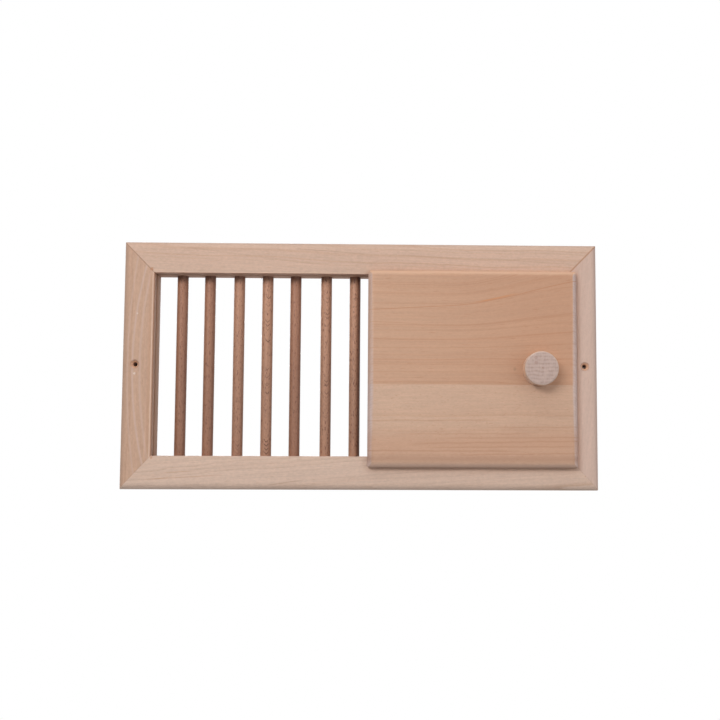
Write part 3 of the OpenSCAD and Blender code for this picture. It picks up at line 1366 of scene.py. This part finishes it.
@dataclass
class DowelRow:
    """The upright dowels between the rails."""

    nodes: list[str]
    diameter: float
    low: float
    high: float
    axis_y: float
    xs: list[float]
    chamfer: float = 0.6
    sides: int = 40
    rings: int = 13
    tones: tuple[float, ...] = (0.0, 0.0, 0.6, 0.85, 0.0, 0.8, 0.85, 0.3, 0.6, 0.2, 0.7, 0.4, 0.1)
    turns: tuple[float, ...] = (0.4, 2.1, 3.3, 4.71, 1.2, 4.4, 0.2, 2.6, 3.9, 5.1, 0.9, 1.8, 4.0)
    chevrons: tuple[float, ...] = (0.0, 0.2, 0.6, 1.5, 0.2, 0.9, 0.3, 0.0, 0.5, 0.0, 0.3, 0.0, 0.0)
    # Share of painted shade down each dowel's right-hand side.
    side_shades: tuple[float, ...] = (0.2, 0.22, 0.18, 0.14, 0.2, 0.3, 0.7, 0.2, 0.2, 0.25, 0.15, 0.2, 0.3)

    @classmethod
    def measured(cls) -> "DowelRow":
        """Takes the dowels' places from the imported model.

        Returns:
            The row with those places.
        """
        nodes = [f"dowel_{i}" for i in range(1, 14)]
        boxes = [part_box(node) for node in nodes]
        low, high = boxes[0]
        return cls(
            nodes=nodes, diameter=(high.x - low.x) / MM, low=low.z / MM, high=high.z / MM,
            axis_y=(low.y + high.y) / 2 / MM, xs=[(a.x + b.x) / 2 / MM for a, b in boxes],
        )

    def recipe(self) -> Recipe:
        """Builds the tree that turns one dowel and stands it on every point of the row.

        Returns:
            The recipe.
        """
        recipe = Recipe("dowel row", diameter=0.008, length=0.147, chamfer=0.0006, sides=40)
        bench, given, put = recipe.tools
        line = put("GeometryNodeCurvePrimitiveLine", {"Start": (0, 0, 0), "End": (0, 0, 1)})
        line = put("GeometryNodeResampleCurve", {"Curve": line, "Count": self.rings})
        index = put("GeometryNodeInputIndex")
        first, last = index < 0.5, index > self.rings - 1.5
        inner = given.length - given.chamfer * 2.0
        height = ((index - 1.0) / (self.rings - 3.0) * inner + given.chamfer) * (1.0 - first)
        height = height.op("MINIMUM", given.length).op("MAXIMUM", last * given.length)
        path = put("GeometryNodeSetPosition", {"Geometry": line, "Position": bench.join(0.0, 0.0, height)})
        radius = given.diameter * 0.5
        circle = put("GeometryNodeCurvePrimitiveCircle", {"Resolution": given.sides, "Radius": radius})
        rod = recipe.sweep(path, circle, 1.0 - (first + last) * (given.chamfer / radius))
        x, y, z = put("GeometryNodeInputPosition").parts
        feeds = {"Geometry": rod, "Name": "rod_place", "Value": bench.join(z, y, x * -1.0) * PER_MM}
        rod = put("GeometryNodeStoreNamedAttribute", feeds, data_type="FLOAT_VECTOR")
        recipe.close(put("GeometryNodeInstanceOnPoints", {"Points": given.geometry, "Instance": rod}))
        return recipe

    def build(self, finish: RodTimber) -> bpy.types.Object:
        """Builds and dresses the row.

        Args:
            finish: The dowels' finish.

        Returns:
            One piece with all the dowels.
        """
        row = carrier(
            [(x, self.axis_y, self.low) for x in self.xs],
            rod_tone=self.tones, rod_turn=self.turns, rod_chevrons=self.chevrons, rod_heart=self.side_shades,
        )
        piece = self.recipe().run(
            row, "dowel_row", diameter=self.diameter * MM, length=(self.high - self.low) * MM,
            chamfer=self.chamfer * MM, sides=self.sides, finish=finish.material(),
        )
        return seat(piece, "frame", "dowel_wood", self.nodes)


@dataclass
class Shutter:
    """The sliding shutter of two glued boards, with its turned knob and screw."""

    arris_r: float = 0.25
    arris_steps: int = 2
    knob_foot: float = 0.25
    knob_rim: float = 1.4
    knob_mark: float = 1.2
    knob_sides: int = 96
    knob_steps: int = 5
    pilot_d: float = 3.6
    pilot_depth: float = 9.5
    thread_r: float = 1.7
    thread_start: float = 7.0
    thread_length: float = 15.0
    thread_pitch: float = 1.6
    thread_depth: float = 0.45
    thread_steps: int = 24

    def board(self, node: str, slot: str, finish: Timber) -> bpy.types.Object:
        """Makes one board from its CAD shape, with every arris eased.

        Args:
            node: The CAD node.
            slot: The material slot.
            finish: The board's finish.

        Returns:
            The finished piece.
        """
        mesh = merged_copy(node)
        self.weigh_arrises(mesh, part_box("shutter_lower_board")[1].z)
        piece = linked(f"{node}_piece", mesh)
        mesh.materials.append(finish.material())
        bevel = piece.modifiers.new("eased arrises", "BEVEL")
        bevel.width = self.arris_r * MM
        bevel.segments = self.arris_steps
        bevel.limit_method = "WEIGHT"
        bevel.harden_normals = False
        piece.modifiers.new("even shading", "WEIGHTED_NORMAL").keep_sharp = True
        return seat(piece, "shutter", slot, [node])

    @staticmethod
    def weigh_arrises(mesh: bpy.types.Mesh, joint: float) -> None:
        """Marks the arrises to ease: every sharp edge but those of the glue joint, which was sanded flush.

        Args:
            mesh: A board's mesh.
            joint: Height of the glue joint, in metres.
        """
        with reworked(mesh) as work:
            weight = work.edges.layers.float.new("bevel_weight_edge")
            for edge in work.edges:
                glued = all(abs(vert.co.z - joint) < TOUCHING for vert in edge.verts)
                edge[weight] = 0.0 if edge.smooth or glued else 1.0

    def knob(self, finish: Timber) -> bpy.types.Object:
        """Turns the knob, with its eased rim, foot and centre mark, and bores it for the screw.

        Args:
            finish: The knob's finish.

        Returns:
            The finished piece.
        """
        low, high = sizes("knob")
        radius, height, hole, mark = (high.x - low.x) / 2, high.y - low.y, self.pilot_d / 2, self.knob_mark / 2
        corners = [
            (0, self.pilot_depth, 0), (hole, self.pilot_depth, 0), (hole, 0, 0), (radius, 0, self.knob_foot),
            (radius, height, self.knob_rim), (mark, height, 0), (0, height - mark, 0),
        ]
        mesh = turned("knob_turning", eased(corners, self.knob_steps), self.knob_sides)
        spot = Vector(((low.x + high.x) / 2, high.y, (low.z + high.z) / 2)) * MM
        mesh.transform(Matrix.Translation(spot) @ Matrix.Rotation(QUARTER_TURN, 4, "X"))
        mesh.materials.append(finish.material())
        return seat(linked("knob_turning", mesh), "shutter", "knob_wood", ["knob"])

    def thread(self) -> Recipe:
        """Builds the tree that winds a thread ridge along a helix.

        Returns:
            The recipe.
        """
        recipe = Recipe("screw thread", turns=9.0, radius=0.0017, height=0.015)
        _, given, put = recipe.tools
        feeds = {
            "Resolution": self.thread_steps, "Rotations": given.turns, "Height": given.height,
            "Start Radius": given.radius, "End Radius": given.radius,
        }
        helix = put("GeometryNodeCurveSpiral", feeds)
        share = put("GeometryNodeSplineParameter", out="Factor")
        taper = (share.ease(0.0, 0.06) * share.ease(1.0, 0.8)).op("MAXIMUM", 0.05)
        recipe.close(recipe.sweep(helix, put("GeometryNodeMeshToCurve", {0: given.geometry}), taper))
        return recipe

    def screw(self, finish: Zinc) -> bpy.types.Object:
        """Makes the screw from its CAD shape and winds the thread round its shank.

        Args:
            finish: The screw's finish.

        Returns:
            The finished piece.
        """
        low, high = sizes("knob_screw")
        zinc = finish.material()
        depth = self.thread_depth
        thread = self.thread().run(
            outline([(depth, 0.0), (-depth / 2, depth / 2), (-depth / 2, -depth / 2)]), "thread",
            turns=self.thread_length / self.thread_pitch, radius=self.thread_r * MM, height=self.thread_length * MM,
            finish=zinc,
        )
        start = Vector(((low.x + high.x) / 2, high.y - self.thread_start, (low.z + high.z) / 2)) * MM
        thread.data.transform(Matrix.Translation(start) @ Matrix.Rotation(QUARTER_TURN, 4, "X"))
        mesh = merged_copy("knob_screw")
        with reworked(mesh) as work:
            work.from_mesh(thread.data)
        bpy.data.objects.remove(thread)
        mesh.materials.append(zinc)
        return seat(linked("knob_screw_piece", mesh), "shutter", "screw_steel", ["knob_screw"])


@dataclass
class GlueLines:
    """Glue squeezed out of the mitres, as broken beads that stand hardly proud."""

    frame_work: FrameWork
    radius: float = 0.32
    sunk: float = 0.2
    ends: Point2 = (0.24, 0.97)
    steps: int = 70
    sides: int = 8

    def recipe(self) -> Recipe:
        """Builds the tree that lays an uneven bead along every line it is given.

        Returns:
            The recipe.
        """
        recipe = Recipe("glue bead", radius=0.0003, sunk=0.0002)
        bench, given, put = recipe.tools
        lines = put("GeometryNodeMeshToCurve", {0: given.geometry})
        lines = put("GeometryNodeResampleCurve", {"Curve": lines, "Count": self.steps})
        lumps = (put("GeometryNodeInputPosition") * PER_MM).noise(0.45).ease(0.4, 0.75)
        share = put("GeometryNodeSplineParameter", out="Factor")
        ends = share.ease(0.0, 0.05) * share.ease(1.0, 0.95)
        thick = put("GeometryNodeInputNamedAttribute", {"Name": "bead"}, data_type="FLOAT")
        circle = put("GeometryNodeCurvePrimitiveCircle", {"Resolution": self.sides, "Radius": given.radius})
        bead = recipe.sweep(lines, circle, (lumps * ends * thick).op("MAXIMUM", 0.02))
        sink = bench.join(0.0, given.sunk, 0.0)
        recipe.close(put("GeometryNodeSetPosition", {"Geometry": bead, "Offset": sink}), math.pi)
        return recipe

    def build(self, finish: Glue) -> bpy.types.Object:
        """Lays the beads along the four mitres.

        Args:
            finish: The glue's finish.

        Returns:
            One piece with all the beads.
        """
        work = self.frame_work
        points, beads = [], []
        for seam in (mitre.value for mitre in Mitre):
            in_x, in_z = work.half_w - work.stile_w, work.half_h - (work.top_w if seam.side_z > 0 else work.bottom_w)
            outer = Vector((seam.side_x * work.half_w, -work.thick, seam.side_z * work.half_h))
            inner = Vector((seam.side_x * in_x, -work.thick, seam.side_z * in_z))
            points += [outer.lerp(inner, share) for share in self.ends]
            beads += [seam.bead] * len(self.ends)
        lines = carrier(points, [(2 * i, 2 * i + 1) for i in range(len(Mitre))], bead=beads)
        piece = self.recipe().run(
            lines, "mitre_glue", radius=self.radius * MM, sunk=self.sunk * MM, finish=finish.material(),
        )
        return seat(piece, "frame", None, [])


@dataclass
class Splinters:
    """Torn fibres that hang from the rear lower arris of the top rail, beside the holes bored in it."""

    xs: tuple[float, ...] = (-73.9, -73.2, -115.2, 41.8)
    lengths: tuple[float, ...] = (1.9, 1.2, 0.8, 0.9)
    leans: tuple[float, ...] = (0.5, -0.3, 0.4, -0.5)
    width: float = 0.45
    depth: float = 1.2
    root: float = 0.2
    sides: int = 6

    def recipe(self) -> Recipe:
        """Builds the tree that hangs one tapering fibre from every point.

        Returns:
            The recipe.
        """
        recipe = Recipe("torn fibres", width=0.0004)
        bench, given, put = recipe.tools
        feeds = {"Vertices": self.sides, "Radius Top": 0.0, "Radius Bottom": 1.0, "Depth": 1.0}
        fibre = put("GeometryNodeMeshCone", feeds, "Mesh")
        length = put("GeometryNodeInputNamedAttribute", {"Name": "length"}, data_type="FLOAT")
        lean = put("GeometryNodeInputNamedAttribute", {"Name": "lean"}, data_type="FLOAT")
        half = given.width * 0.5
        feeds = {
            "Points": given.geometry, "Instance": fibre, "Scale": bench.join(half, half, length),
            "Rotation": put("FunctionNodeEulerToRotation", {0: bench.join(math.pi, lean, 0.0)}),
        }
        recipe.close(put("GeometryNodeInstanceOnPoints", feeds))
        return recipe

    def build(self, finish: Timber, edge_z: float) -> bpy.types.Object:
        """Hangs the fibres.

        Args:
            finish: The top rail's finish.
            edge_z: Height of the rail's lower face.

        Returns:
            One piece with all the fibres.
        """
        points = carrier(
            [(x, -self.depth, edge_z + self.root) for x in self.xs],
            length=[length * MM for length in self.lengths], lean=self.leans,
        )
        piece = self.recipe().run(points, "torn_fibres", width=self.width * MM, finish=finish.material())
        return seat(piece, "frame", None, [])


# ---------------------------------------------------------------- studio


@dataclass(frozen=True)
class Lamp:
    """One soft studio lamp, aimed at the middle of the object."""

    name: str
    place: Point3
    size: Point2
    power: float

    def hang(self) -> bpy.types.Object:
        """Makes the lamp and aims it.

        Returns:
            The lamp.
        """
        data = bpy.data.lights.new(self.name, "AREA")
        data.shape = "RECTANGLE"
        data.size, data.size_y = self.size
        data.energy = self.power
        lamp = linked(self.name, data)
        lamp.location = self.place
        lamp.rotation_euler = (-Vector(self.place)).to_track_quat("-Z", "Y").to_euler()
        return lamp


@dataclass(frozen=True)
class Studio:
    """Pale floor, white surroundings, soft lamps and the camera."""

    floor_z: float = -0.95
    floor_half: float = 20.0
    floor_paint: Colour = (0.74, 0.74, 0.74, 1.0)
    haze: float = 0.5
    white_from: float = 0.7
    white_to: float = 1.7
    ambient: float = 0.01
    eye: Point3 = (0.014203, -0.732488, -0.058524)
    yaw: float = 1.290
    pitch: float = 4.622
    roll: float = 0.223
    lens: float = 49.84
    sensor: float = 36.0
    shift: Point2 = (-0.0598, 0.0097)
    lamps: tuple[Lamp, ...] = (
        Lamp("key", (-0.77, -1.54, 0.67), (1.05, 0.6), 18.1),
        Lamp("right", (1.35, -1.3, 0.2), (2.0, 1.6), 13.6),
        Lamp("top", (-0.1, -0.7, 1.45), (2.0, 1.4), 10.6),
        Lamp("back", (-0.4, 1.8, 0.5), (0.7, 0.7), 21.0),
    )

    def camera(self) -> bpy.types.Object:
        """Makes the camera that looks as the photograph does.

        Returns:
            The camera.
        """
        yaw, pitch, roll = (math.radians(angle) for angle in (self.yaw, self.pitch, self.roll))
        ahead = Vector((math.sin(yaw) * math.cos(pitch), math.cos(yaw) * math.cos(pitch), math.sin(pitch)))
        right = ahead.cross(Vector((0, 0, 1))).normalized()
        up = right.cross(ahead)
        across = right * math.cos(roll) + up * math.sin(roll)
        upward = up * math.cos(roll) - right * math.sin(roll)
        data = bpy.data.cameras.new("camera")
        data.sensor_width = self.sensor
        data.lens = self.lens
        data.shift_x, data.shift_y = self.shift
        camera = linked("camera", data)
        camera.matrix_world = Matrix.Translation(self.eye) @ Matrix((across, upward, -ahead)).transposed().to_4x4()
        bpy.context.scene.camera = camera
        return camera

    @staticmethod
    def seen(bench: Bench) -> Wire:
        """Finds the rays that show the surroundings themselves.

        Args:
            bench: The tree of the floor or the world.

        Returns:
            1 for those rays, and 0 for rays that light the object.
        """
        rays = ("Is Camera Ray", "Is Glossy Ray", "Is Transmission Ray")
        camera, glossy, clear = (bench.put("ShaderNodeLightPath", out=ray) for ray in rays)
        return camera.op("MAXIMUM", glossy).op("MAXIMUM", clear)

    def world(self) -> None:
        """Surrounds the object with even white light and a white background."""
        world = bpy.data.worlds.new("surroundings")
        bpy.context.scene.world = world
        bench = Bench.cleared(world)
        light = bench.put("ShaderNodeBackground", {"Color": WHITE, "Strength": self.ambient})
        white = bench.put("ShaderNodeBackground", {"Color": WHITE, "Strength": 1.0})
        mixed = bench.put("ShaderNodeMixShader", {0: self.seen(bench), 1: light, 2: white})
        bench.put("ShaderNodeOutputWorld", {0: mixed})

    def floor(self) -> bpy.types.Object:
        """Lays a pale floor that keeps the object's shadow and turns white far away.

        Returns:
            The floor.
        """
        mesh = bpy.data.meshes.new("floor")
        corners = [(-1, -1), (1, -1), (1, 1), (-1, 1)]
        mesh.from_pydata([(x * self.floor_half, y * self.floor_half, self.floor_z) for x, y in corners], [], [range(4)])
        made = bpy.data.materials.new("floor_paint")
        bench = Bench.cleared(made)
        distance = (bench.put("ShaderNodeTexCoord", out="Object") * (1.0, 1.0, 0.0)).op("LENGTH")
        paper = bench.put("ShaderNodeBsdfDiffuse", {"Color": self.floor_paint})
        white = bench.put("ShaderNodeEmission", {"Color": WHITE, "Strength": 1.0})
        share = distance.ease(self.white_from, self.white_to).op("MAXIMUM", self.haze) * self.seen(bench)
        bench.put("ShaderNodeOutputMaterial", {0: bench.put("ShaderNodeMixShader", {0: share, 1: paper, 2: white})})
        mesh.materials.append(made)
        floor = linked("floor", mesh)
        return floor

    def set_up(self) -> None:
        """Makes the camera, the floor, the world and the lamps."""
        bpy.context.scene.view_settings.view_transform = "Standard"
        self.camera()
        self.world()
        self.floor()
        for lamp in self.lamps:
            lamp.hang()


# ---------------------------------------------------------------- the valve

# DEEP_SHADE is painted shade for contact shadows.
CREAM, DEEP_SHADE = paint(240, 212, 190), paint(112, 72, 50)
AMBER, RUST, UMBER = paint(184, 130, 94), paint(186, 128, 92), paint(174, 120, 88)
# WARM_SHADE is painted shade: the warm shadow that the shutter casts on the frame.
LILAC, BROWN, WARM_SHADE = paint(210, 186, 176), paint(150, 106, 92), paint(192, 124, 78)


def rail_finishes() -> dict[str, Timber]:
    """Gives the top and the bottom rail their own pieces of wood.

    Returns:
        The finishes by node name.
    """
    front = -10.5
    return {
        "top_rail": Timber(
            "top_rail_timber", paint(210, 178, 158), paint(186, 140, 110), paint(184, 154, 136),
            middle=middle_of("top_rail"), pith=(0, 50, -60), lean=(0, 0.012, 0.04), wander=4.0, seed=1.0,
            ring_depth=0.5, fineness=1.3, wear_and_light_depth=0.08, lines=(
                Line(-0.4, -0.04, width=0.6, start=-160, end=-125, fade=8, depth=0.3),
                Line(3.6, -0.03, width=0.6, start=-56, end=12, depth=0.3),
                Line(-7.0, -0.05, bow=0.0002, width=1.1, start=-138, end=-20, depth=0.12),
                Line(4.0, -0.01, width=0.8, start=20, end=80, depth=0.2),
                Line(6.0, -0.02, width=0.6, start=95, end=160, depth=0.2),
                # Painted shade: a warm darker band along the rail where the shutter's top edge meets it.
                straight_mark(-11.0, width=4.5, wave=0.8, start=0, fade=30, depth=0.42, colour=paint(216, 136, 80)),
                straight_mark(-10.7, depth=0.3, colour=CREAM),
                # Painted shade: the reveal under the rail is painted darker and browner.
                straight_mark(-11.4, depth=0.5, colour=paint(150, 90, 58)),
                straight_mark(-11.4, width=0.2, depth=0.6, colour=paint(196, 156, 134)),
            ),
            blemishes=(Blemish((-150.4, front, -8.6), 1.5, 0.65, RUST),),
        ),
        "bottom_rail": Timber(
            "bottom_rail_timber", paint(213, 185, 167), paint(178, 138, 109), paint(180, 152, 132),
            middle=middle_of("bottom_rail"), pith=(0, 60, 50), lean=(0, -0.02, -0.045), wander=4.0, gap=2.8, seed=2.0,
            ring_depth=0.46, fineness=1.2, lines=(
                Line(4.4, 0.015, width=0.6, start=-156, end=-95, fade=12, colour=AMBER),
                Line(6.4, start=-142, end=-116, fade=8, depth=0.3, colour=AMBER),
                Line(1.0, 0.1, width=0.6, start=-68, end=-38, fade=8),
                Line(5.0, 0.03, width=0.8, start=-90, end=60, depth=0.15),
                Line(-2.0, 0.03, width=0.6, start=-40, end=90, depth=0.2),
                Line(5.0, 0.1, width=0.8, start=-162, end=-120, depth=0.3),
                Line(4.0, width=22.0, start=20, fade=60, wave=0.2, depth=0.3, colour=paint(226, 194, 174)),
                # Painted shade: a warm shadow band on the rail under the shutter's lower edge.
                straight_mark(3.0, width=4.0, start=0, end=160, fade=8, wave=0.2, depth=0.16, colour=WARM_SHADE),
            ),
            blemishes=(
                Blemish((-147.6, front, 10.6), 1.3, 0.55, RUST), Blemish((158.5, front, 1.1), 0.8, 0.4, RUST),
                Blemish((160.6, front, -1.7), 0.7, 0.35, RUST),
            ),
        ),
    }


def stile_finishes() -> dict[str, Timber]:
    """Gives the left and the right stile their own pieces of wood.

    Returns:
        The finishes by node name.
    """
    front, sink = -10.5, -9.6
    return {
        "left_stile": Timber(
            "left_stile_timber", paint(196, 160, 137), paint(168, 126, 100), paint(180, 148, 128),
            fibre=Fibre.UPRIGHT, middle=middle_of("left_stile"), pith=(0, 60, 40), gap=3.6, seed=3.0,
            ring_depth=0.3, fineness=1.2, wear_and_light_depth=0.08, lines=(
                Line(3.0, bow=-0.0017, width=1.4, wave=0.4, colour=LILAC),
                Line(-2.2, bow=-0.0015, width=1.6, wave=0.6, depth=0.3, colour=LILAC),
                Line(6.6, bow=-0.001, width=1.2, wave=0.6, depth=0.25, colour=LILAC),
                Line(-8.8, width=2.0, wave=1.0, depth=0.22, colour=AMBER),
                straight_mark(-10.3, width=0.6, depth=0.55, colour=CREAM),
                # Painted shade: the stile's reveal is painted darker and browner.
                straight_mark(-11.1, depth=0.55, colour=paint(146, 84, 52)),
            ),
            blemishes=(
                Blemish((-6.6, front, 1.4), 1.1, 0.8, paint(222, 204, 192)),
                Blemish((36.4, front, 0.2), 0.8, 0.8, paint(220, 200, 188)),
                Blemish((68.6, front, -9.0), 1.4, 0.6, RUST),
                Blemish((0.0, sink, 1.6), 3.6, 0.75, paint(212, 160, 122)),
            ),
        ),
        "right_stile": Timber(
            "right_stile_timber", paint(208, 179, 164), paint(192, 154, 134), paint(182, 152, 138),
            fibre=Fibre.UPRIGHT, middle=middle_of("right_stile"), pith=(0, 60, -40), lean=(0, 0, 0.12), gap=3.4,
            seed=4.0, ring_depth=0.25, fineness=1.0, fibre_depth=0.35, speck_depth=0.2,
            # Painted shade: a warm shadow band on the stile beside the shutter's right edge.
            lines=(straight_mark(4.0, width=3.5, start=-80, end=74, fade=8, wave=0.2, depth=0.2, colour=WARM_SHADE),),
            blemishes=(Blemish((0.0, sink, -1.6), 3.5, 0.75, paint(224, 174, 134)),),
        ),
    }


def shutter_finishes() -> dict[str, Timber]:
    """Gives the two boards and the knob their own pieces of wood.

    Returns:
        The finishes by node name.
    """
    board_x, board_y, _ = middle_of("shutter_upper_board")
    amber_lines = (
        (24.6, 0.8, 0.15), (19.0, 0.5, 0.2), (12.2, 0.6, 0.25), (7.0, 0.5, 0.2), (0.5, 0.6, 0.25), (-5.0, 0.5, 0.2),
    )
    umber_lines = (
        (-39.0, 0.0, 0.9, -90, 25, 2.0, 0.28), (-44.3, 0.0, 0.8, 5, 90, 1.6, 0.28),
        (-48.6, 0.0, 1.0, -60, 50, 1.6, 0.22), (-51.6, 0.0, 0.7, -30, 90, 1.6, 0.3),
        (-54.9, 0.01, 1.0, -50, 200, 2.0, 0.3), (-58.0, 0.0, 0.8, -40, 80, 1.4, 0.3),
        (-60.8, -0.01, 1.0, -90, 40, 1.6, 0.35), (-63.4, 0.01, 0.7, -20, 200, 1.4, 0.3),
    )
    return {
        "shutter_upper_board": Timber(
            "upper_board_timber", paint(202, 161, 134), paint(180, 121, 85), paint(208, 185, 177),
            middle=(board_x, board_y, 0.0), pith=(0, 90, -75), rise=0.3, rise_start=-15, rise_end=90, wander=2.5,
            gap=2.4, seed=5.0, ring_depth=0.3, fineness=1.1, fibre_depth=0.45, speck_depth=0.16, ray_depth=0.3,
            fall=0.26, slant=0.7, lines=(
                Line(43.4, 0.055, width=0.36, depth=0.6, colour=paint(186, 120, 78)),
                Line(44.2, 0.055, width=0.8, start=-2, end=36, fade=14, depth=0.7, colour=paint(206, 138, 88)),
                Line(28.5, -0.03, start=-90, end=-35, depth=0.35, colour=AMBER),
                Line(28.3, start=-40, depth=0.25, colour=AMBER),
                *(Line(height, width=width, depth=depth, colour=AMBER) for height, width, depth in amber_lines),
                # Painted highlight: the board's top rounding is painted paler.
                straight_mark(67.0, width=2.6, wave=0.1, depth=0.56, colour=paint(238, 196, 164)),
                straight_mark(30.0, width=90.0, end=-70, fade=3, depth=0.45, colour=paint(210, 164, 130)),
            ),
            blemishes=(Blemish((29.6, -8.6, -2.6), 1.5, 0.3, paint(150, 118, 90)),),
        ),
        "shutter_lower_board": Timber(
            "lower_board_timber", paint(209, 174, 150), paint(182, 132, 100), paint(210, 187, 179),
            middle=(board_x, board_y, 0.0), pith=(0, 90, 17), lean=(0, 0, -0.008), wander=2.0, gap=2.0, seed=6.0,
            ring_depth=0.2, fineness=1.1, reach=14.0, speck_depth=0.2, ray_depth=0.3, fall=0.16, slant=0.7, lines=(
                Line(-56.0, width=17.0, wave=2.0, depth=0.42, colour=paint(193, 142, 112)),
                # Painted shade: these three bands darken the board towards its lower edge and on its lower rounding,
                # and the last is a painted contact shadow along that edge.
                straight_mark(-66.5, width=5.0, wave=0.3, depth=0.5, colour=paint(164, 120, 96)),
                straight_mark(-72.0, width=3.5, wave=0.3, depth=0.45, colour=paint(182, 152, 140)),
                straight_mark(-73.0, width=1.1, wave=0.1, depth=0.6, colour=DEEP_SHADE),
                *(
                    Line(height, slope, 0.0, width, start, end, wave=wave, depth=depth, colour=UMBER)
                    for height, slope, width, start, end, wave, depth in umber_lines
                ),
            ),
        ),
        "knob": Timber(
            "knob_timber", paint(228, 190, 162), paint(146, 108, 94), paint(197, 173, 163),
            fibre=Fibre.OUTWARD, middle=middle_of("knob"), pith=(0, 8, 60), wander=0.6, gap=1.9, seed=7.0,
            # Painted light: the knob's eased rim and sides are painted pale with a strong edge colour.
            ray_gap=0.75, bar_gap=2.6, ray_depth=0.38, speck_depth=0.12, wear_and_light=paint(220, 196, 180), wear_and_light_depth=0.8,
            # Painted shade: a dark crescent on the knob's underside.
            lines=(straight_mark(-12.0, width=1.8, start=-4, end=9, fade=2, depth=0.6, colour=DEEP_SHADE),),
            blemishes=(
                Blemish((-6.0, 4.4, 7.3), 1.5, 0.3, BROWN), Blemish((-6.0, 4.1, 4.0), 1.6, 0.35, BROWN),
                Blemish((-6.0, -0.4, 0.2), 0.9, 0.4, BROWN),
            ),
        ),
    }


def main() -> None:
    """Builds the studio and every sub-assembly in order."""
    logging.basicConfig(level=logging.INFO, format="%(name)s: %(message)s")
    Studio().set_up()
    finishes = rail_finishes() | stile_finishes() | shutter_finishes()
    dowels, frame_work, shutter = DowelRow.measured(), FrameWork.measured(), Shutter()
    frame_work.build(dowels, finishes)
    dowels.build(RodTimber())
    shutter.board("shutter_upper_board", "upper_board_wood", finishes["shutter_upper_board"])
    shutter.board("shutter_lower_board", "lower_board_wood", finishes["shutter_lower_board"])
    shutter.knob(finishes["knob"])
    shutter.screw(Zinc())
    GlueLines(frame_work).build(Glue())
    torn = replace(finishes["top_rail"], name="torn_timber", pale=paint(150, 104, 76), lines=())
    Splinters().build(torn, frame_work.half_h - frame_work.top_w)
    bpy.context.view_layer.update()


if __name__ == "__main__":
    main()
